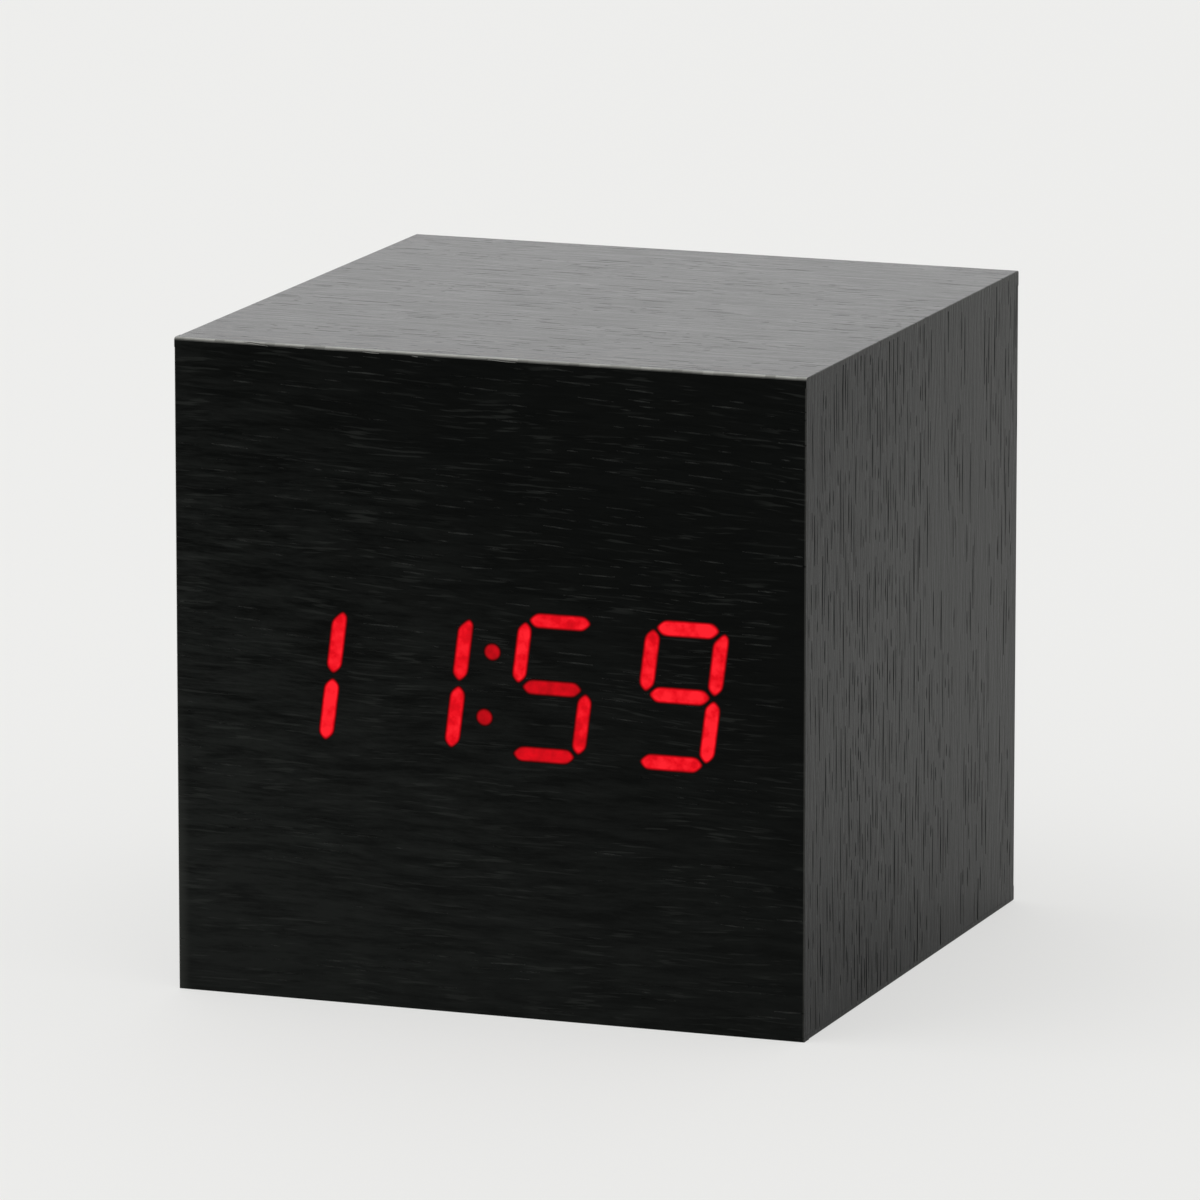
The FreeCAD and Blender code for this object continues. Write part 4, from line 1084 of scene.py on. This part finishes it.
litChip = {"cap": (0.55, 0.02, 0.02), "paleCap": (0.75, 0.06, 0.05), "light": (0.75, 0.004, 0.010),
           "brightLight": (1.0, 0.02, 0.03), "roughness": 0.25}


def makeLedRed():
    # A lit chip under its clear red cap.
    material, tree, surface, place = newMaterial("lit chip")
    cap = layNoise(tree, place, 1400.0, 2.0)
    fill(tree, surface, {
        "Base Color": blend(tree, cap, litChip["cap"], litChip["paleCap"]),
        "Emission Color": blend(tree, cap, litChip["light"], litChip["brightLight"]),
        "Emission Strength": 1.0,
        "Roughness": litChip["roughness"],
    })
    return material


finishes = {slot: makePlastic(slot) for slot in plastics}
finishes.update({slot: makeMetal(slot) for slot in metals})
finishes["fibreboard"] = makeFibreboard()
finishes["softwood"] = makeSoftwood()
finishes["circuit_board"] = makeBoardGreen()
finishes["led_red"] = makeLedRed()
cellWrap = makeCellWrap()

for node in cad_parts.values():
    for place in node.material_slots:
        if place.material.name in finishes:
            place.material = finishes[place.material.name]
print("inner parts finished")

# The pieces at the rear and inside.

softParts = (
    # node, piece, body, slot, rounding in mm
    ("rear_cover", "rear_shell", "case", "case_plastic", 0.10),
    ("battery_door", "door_lid", "door", "case_plastic", 0.12),
    ("socket_shell", "inlet_shell", "case", "plated_steel", 0.06),
    ("socket_insert", "inlet_tongue", "case", "chip_plastic", 0.05),
    ("microphone", "sound_sensor", "case", "plated_steel", 0.15),
    ("contact_plates", "cell_contacts", "case", "plated_steel", 0.06),
    ("switch_bodies", "key_switches", "case", "chip_plastic", 0.08),
    ("key_header", "key_plug", "case", "chip_plastic", 0.10),
    ("display_header", "display_plug", "case", "chip_plastic", 0.10),
    ("buzzer", "sounder", "case", "chip_plastic", 0.20),
    ("capacitor", "smoothing_can", "case", "plated_steel", 0.45),
    ("crystal", "crystal_can", "case", "plated_steel", 0.25),
    ("thermistor", "heat_sensor", "case", "chip_plastic", 0.25),
    ("timer_chip", "timer_package", "case", "chip_plastic", 0.06),
    ("chip_legs", "timer_legs", "case", "plated_steel", 0.03),
    ("resistors", "chip_resistors", "case", "chip_plastic", 0.04),
    ("coin_holder", "coin_tray", "case", "chip_plastic", 0.10),
    ("coin_cell", "coin_can", "case", "plated_steel", 0.35),
    ("coin_clip", "coin_strap", "case", "plated_steel", 0.06),
    ("board_screws", "key_board_screws", "case", "screw_steel", 0.12),
    ("display_screws", "display_board_screws", "case", "screw_steel", 0.12),
    ("glue_blocks", "corner_blocks", "case", "softwood", 0.30),
    ("light_shield", "shield_frame", "case", "white_plastic", 0.05),
    ("segment_leds", "lit_chips", "case", "led_red", 0.05),
)
for node, name, body, slotName, rounding in softParts:
    # A copy of the CAD piece, with its flats joined up and its edges rounded.
    bm = bmesh.new()
    bm.from_mesh(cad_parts[node].data)
    bmesh.ops.remove_doubles(bm, verts=bm.verts, dist=2 * hair)
    bmesh.ops.dissolve_limit(bm, angle_limit=math.radians(0.5), verts=bm.verts, edges=bm.edges)
    roundEdges(bm, [edge for edge in bm.edges if isCorner(edge, 30)], rounding * mm, 2)
    piece = finishPiece(bm, name, [finishes[slotName]], body, (node,), sharpAngle=40)
    level = piece.modifiers.new("level flats", "WEIGHTED_NORMAL")  # keeps the shading of large flats even
    level.keep_sharp = True
    level.weight = 100
print("rear shell and small parts moulded")


def onRing(place, axis, along, radius):
    reach = place.dot(axis)
    return abs(reach - along) < 10 * hair and abs((place - axis * reach).length - radius) < 10 * hair


def lathe(centre, axis, points, steps):
    # Turns an outline of (along, radius, rounding) about the axis, then rounds its rings.
    axis = Vector(axis)
    side = axis.orthogonal().normalized()
    bm = bmesh.new()
    chain = [bm.verts.new(centre + axis * along + side * radius) for along, radius, rounding in points]
    for first, second in zip(chain, chain[1:]):
        bm.edges.new((first, second))
    bmesh.ops.spin(bm, geom=bm.verts[:] + bm.edges[:], cent=centre, axis=axis, angle=math.tau, steps=steps,
                   use_merge=True)
    bmesh.ops.remove_doubles(bm, verts=bm.verts, dist=hair)
    bmesh.ops.recalc_face_normals(bm, faces=bm.faces)
    for along, radius, rounding in points:
        if rounding:
            ring = [edge for edge in bm.edges
                    if all(onRing(vert.co - centre, axis, along, radius) for vert in edge.verts)]
            roundEdges(bm, ring, rounding)
    return bm


keyCap = {"flange": 0.8 * mm, "flangeRadius": 3.4 * mm, "footRounding": 0.08 * mm,
          "flangeRounding": 0.15 * mm, "radius": 2.7 * mm, "rounding": 0.45 * mm,
          "rim": 1.9 * mm, "rimRounding": 0.25 * mm, "dish": 0.16 * mm, "dishRounding": 0.2 * mm,
          "bottom": 0.55, "deepest": 1.2}  # of the dish, as shares of its rim and its depth
for name in ("set", "up", "down"):
    low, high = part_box(name + "_button")
    foot = Vector(((low.x + high.x) / 2, low.y, (low.z + high.z) / 2))
    top = high.y - low.y
    flange, dish = keyCap["flange"], keyCap["dish"]
    profile = [(0, 0, 0), (0, keyCap["flangeRadius"], keyCap["footRounding"]),
               (flange, keyCap["flangeRadius"], keyCap["flangeRounding"]), (flange, keyCap["radius"], 0),
               (top, keyCap["radius"], keyCap["rounding"]), (top, keyCap["rim"], keyCap["rimRounding"]),
               (top - dish, keyCap["rim"] * keyCap["bottom"], keyCap["dishRounding"]),
               (top - dish * keyCap["deepest"], 0, 0)]
    finishPiece(lathe(foot, (0, 1, 0), profile, 56), name + "_cap", [finishes["key_plastic"]],
                name + "_key", (name + "_button",))

coverScrew = {"headRadius": 1.7 * mm, "headHeight": 1.2 * mm, "headRounding": 0.08 * mm,
              "crown": 0.5 * mm, "shankRadius": 1.0 * mm, "rootRadius": 0.72 * mm,
              "threadPitch": 0.8 * mm, "recess": (2.0 * mm, 0.6 * mm, 0.7 * mm), "turns": (18, -34, 52, -8)}


def screwProfile(length):
    # From the tip to the crown, with a thread on the lower part.
    root, crest, pitch = coverScrew["rootRadius"], coverScrew["shankRadius"], coverScrew["threadPitch"]
    seat = length - coverScrew["headHeight"]
    along = 0.9 * pitch  # the length of the point
    profile = [(0, 0, 0), (along, root, 0)]
    while along + pitch < seat - pitch:
        profile += [(along + pitch * 0.45, crest, 0), (along + pitch, root, 0)]
        along += pitch
    radius = coverScrew["headRadius"]
    return profile + [(seat, root, 0), (seat, radius, coverScrew["headRounding"]),
                      (length, radius, coverScrew["crown"]), (length, 0, 0)]


def recessArm(place, turn):
    # One bar of a cross recess, narrower at its bottom.
    long, wide, deep = coverScrew["recess"]
    arm = bmesh.new()
    bmesh.ops.create_cube(arm, size=1)
    bmesh.ops.scale(arm, vec=(0.75, 1, 0.8), verts=[vert for vert in arm.verts if vert.co.y < 0])
    size = Matrix.Diagonal((long, 2 * deep, wide, 1))
    spin = Matrix.Rotation(math.radians(turn), 4, "Y")
    bmesh.ops.transform(arm, matrix=Matrix.Translation(place) @ spin @ size, verts=arm.verts)
    return arm


low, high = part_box("cover_screws")
inset = coverScrew["headRadius"]
places = [Vector((x, low.y, z)) for x in (low.x + inset, high.x - inset)
          for z in (low.z + inset, high.z - inset)]
bm = gather([lathe(place, (0, 1, 0), screwProfile(high.y - low.y), 32) for place in places])
for quarter in (0, 90):
    arms = [recessArm(Vector((place.x, high.y, place.z)), turn + quarter)
            for place, turn in zip(places, coverScrew["turns"])]
    bm = cutOut(bm, gather(arms))
finishPiece(bm, "rear_screws", [finishes["screw_steel"]], "case", ("cover_screws",))

cell = {"length": 44.5 * mm, "radius": 5.25 * mm, "rounding": 0.5 * mm, "nub": 1.9 * mm,
        "nubHeight": 0.8 * mm, "nubRounding": 0.3 * mm, "rim": 4.5 * mm, "dip": 0.35 * mm,
        "flatEnd": 0.1 * mm, "seam": 3.25 * mm, "seamWidth": 0.3 * mm,
        "rows": ((16.55 * mm, -1), (27.35 * mm, 1), (38.15 * mm, -1))}  # height, side of the positive end
low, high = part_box("battery_cells")
bayHalf = (high.x - low.x) / 2
bayLevel = (low.y + high.y) / 2


def cellMesh(z, side):
    length, radius, rim, nub = cell["length"], cell["radius"], cell["rim"], cell["nub"]
    foot = Vector((side * (bayHalf - length), bayLevel, z))
    body = length - cell["nubHeight"]
    dip = body - cell["dip"]
    inner, outer = cell["seam"] - cell["seamWidth"] / 2, cell["seam"] + cell["seamWidth"] / 2
    profile = [(cell["flatEnd"], 0, 0), (cell["flatEnd"], inner, 0.08 * mm),
               (0, outer, 0.05 * mm), (0, radius, cell["rounding"]),
               (body, radius, cell["rounding"]), (body, rim, 0.15 * mm),
               (dip, rim - 0.3 * mm, 0.1 * mm), (dip, nub + 0.4 * mm, 0),
               (body, nub, 0), (length, nub, cell["nubRounding"]), (length, 0, 0)]
    return lathe(foot, (side, 0, 0), profile, 48)


bm = gather([cellMesh(z, side) for z, side in cell["rows"]])
cells = finishPiece(bm, "cells", [cellWrap, finishes["plated_steel"]], "case",
                    ("battery_cells",))
for polygon in cells.data.polygons:
    # The ends are bare metal.
    away = min(math.hypot(polygon.center.y - bayLevel, polygon.center.z - z) for z, side in cell["rows"])
    if away < cell["rim"] - 0.1 * mm:
        polygon.material_index = 1

spring = {"wire": 0.5 * mm, "length": 1.8 * mm, "base": 6.8 * mm, "tip": 3.2 * mm, "turns": 2.5,
          "smooth": 32}


def springMesh(z, side, start):
    # A conical coil from its tip on the cell's flat end to its base on the contact.
    curve = bpy.data.curves.new("spring", "CURVE")
    curve.dimensions = "3D"
    curve.bevel_depth = spring["wire"] / 2
    curve.bevel_resolution = 3
    curve.use_fill_caps = True
    count = round(spring["turns"] * spring["smooth"])
    line = curve.splines.new("POLY")
    line.points.add(count)
    for step, point in enumerate(line.points):
        share = step / count
        angle = math.tau * spring["turns"] * share
        radius = (spring["tip"] + (spring["base"] - spring["tip"]) * share - spring["wire"]) / 2
        along = spring["wire"] / 2 + (spring["length"] - spring["wire"]) * share
        out, up = side * radius * math.cos(angle), radius * math.sin(angle)
        point.co = (side * along + start, bayLevel + out, z + up, 1)
    holder = bpy.data.objects.new("spring", curve)
    bm = bmeshFrom(bpy.data.meshes.new_from_object(holder))
    bmesh.ops.recalc_face_normals(bm, faces=bm.faces)
    bpy.data.objects.remove(holder)
    bpy.data.curves.remove(curve)
    return bm


flatEnd = high.x - spring["length"]
bm = gather([springMesh(z, -side, -side * flatEnd) for z, side in cell["rows"]])
finishPiece(bm, "cell_springs", [finishes["plated_steel"]], "case", ("contact_springs",))
print("keys, screws, cells and springs made")
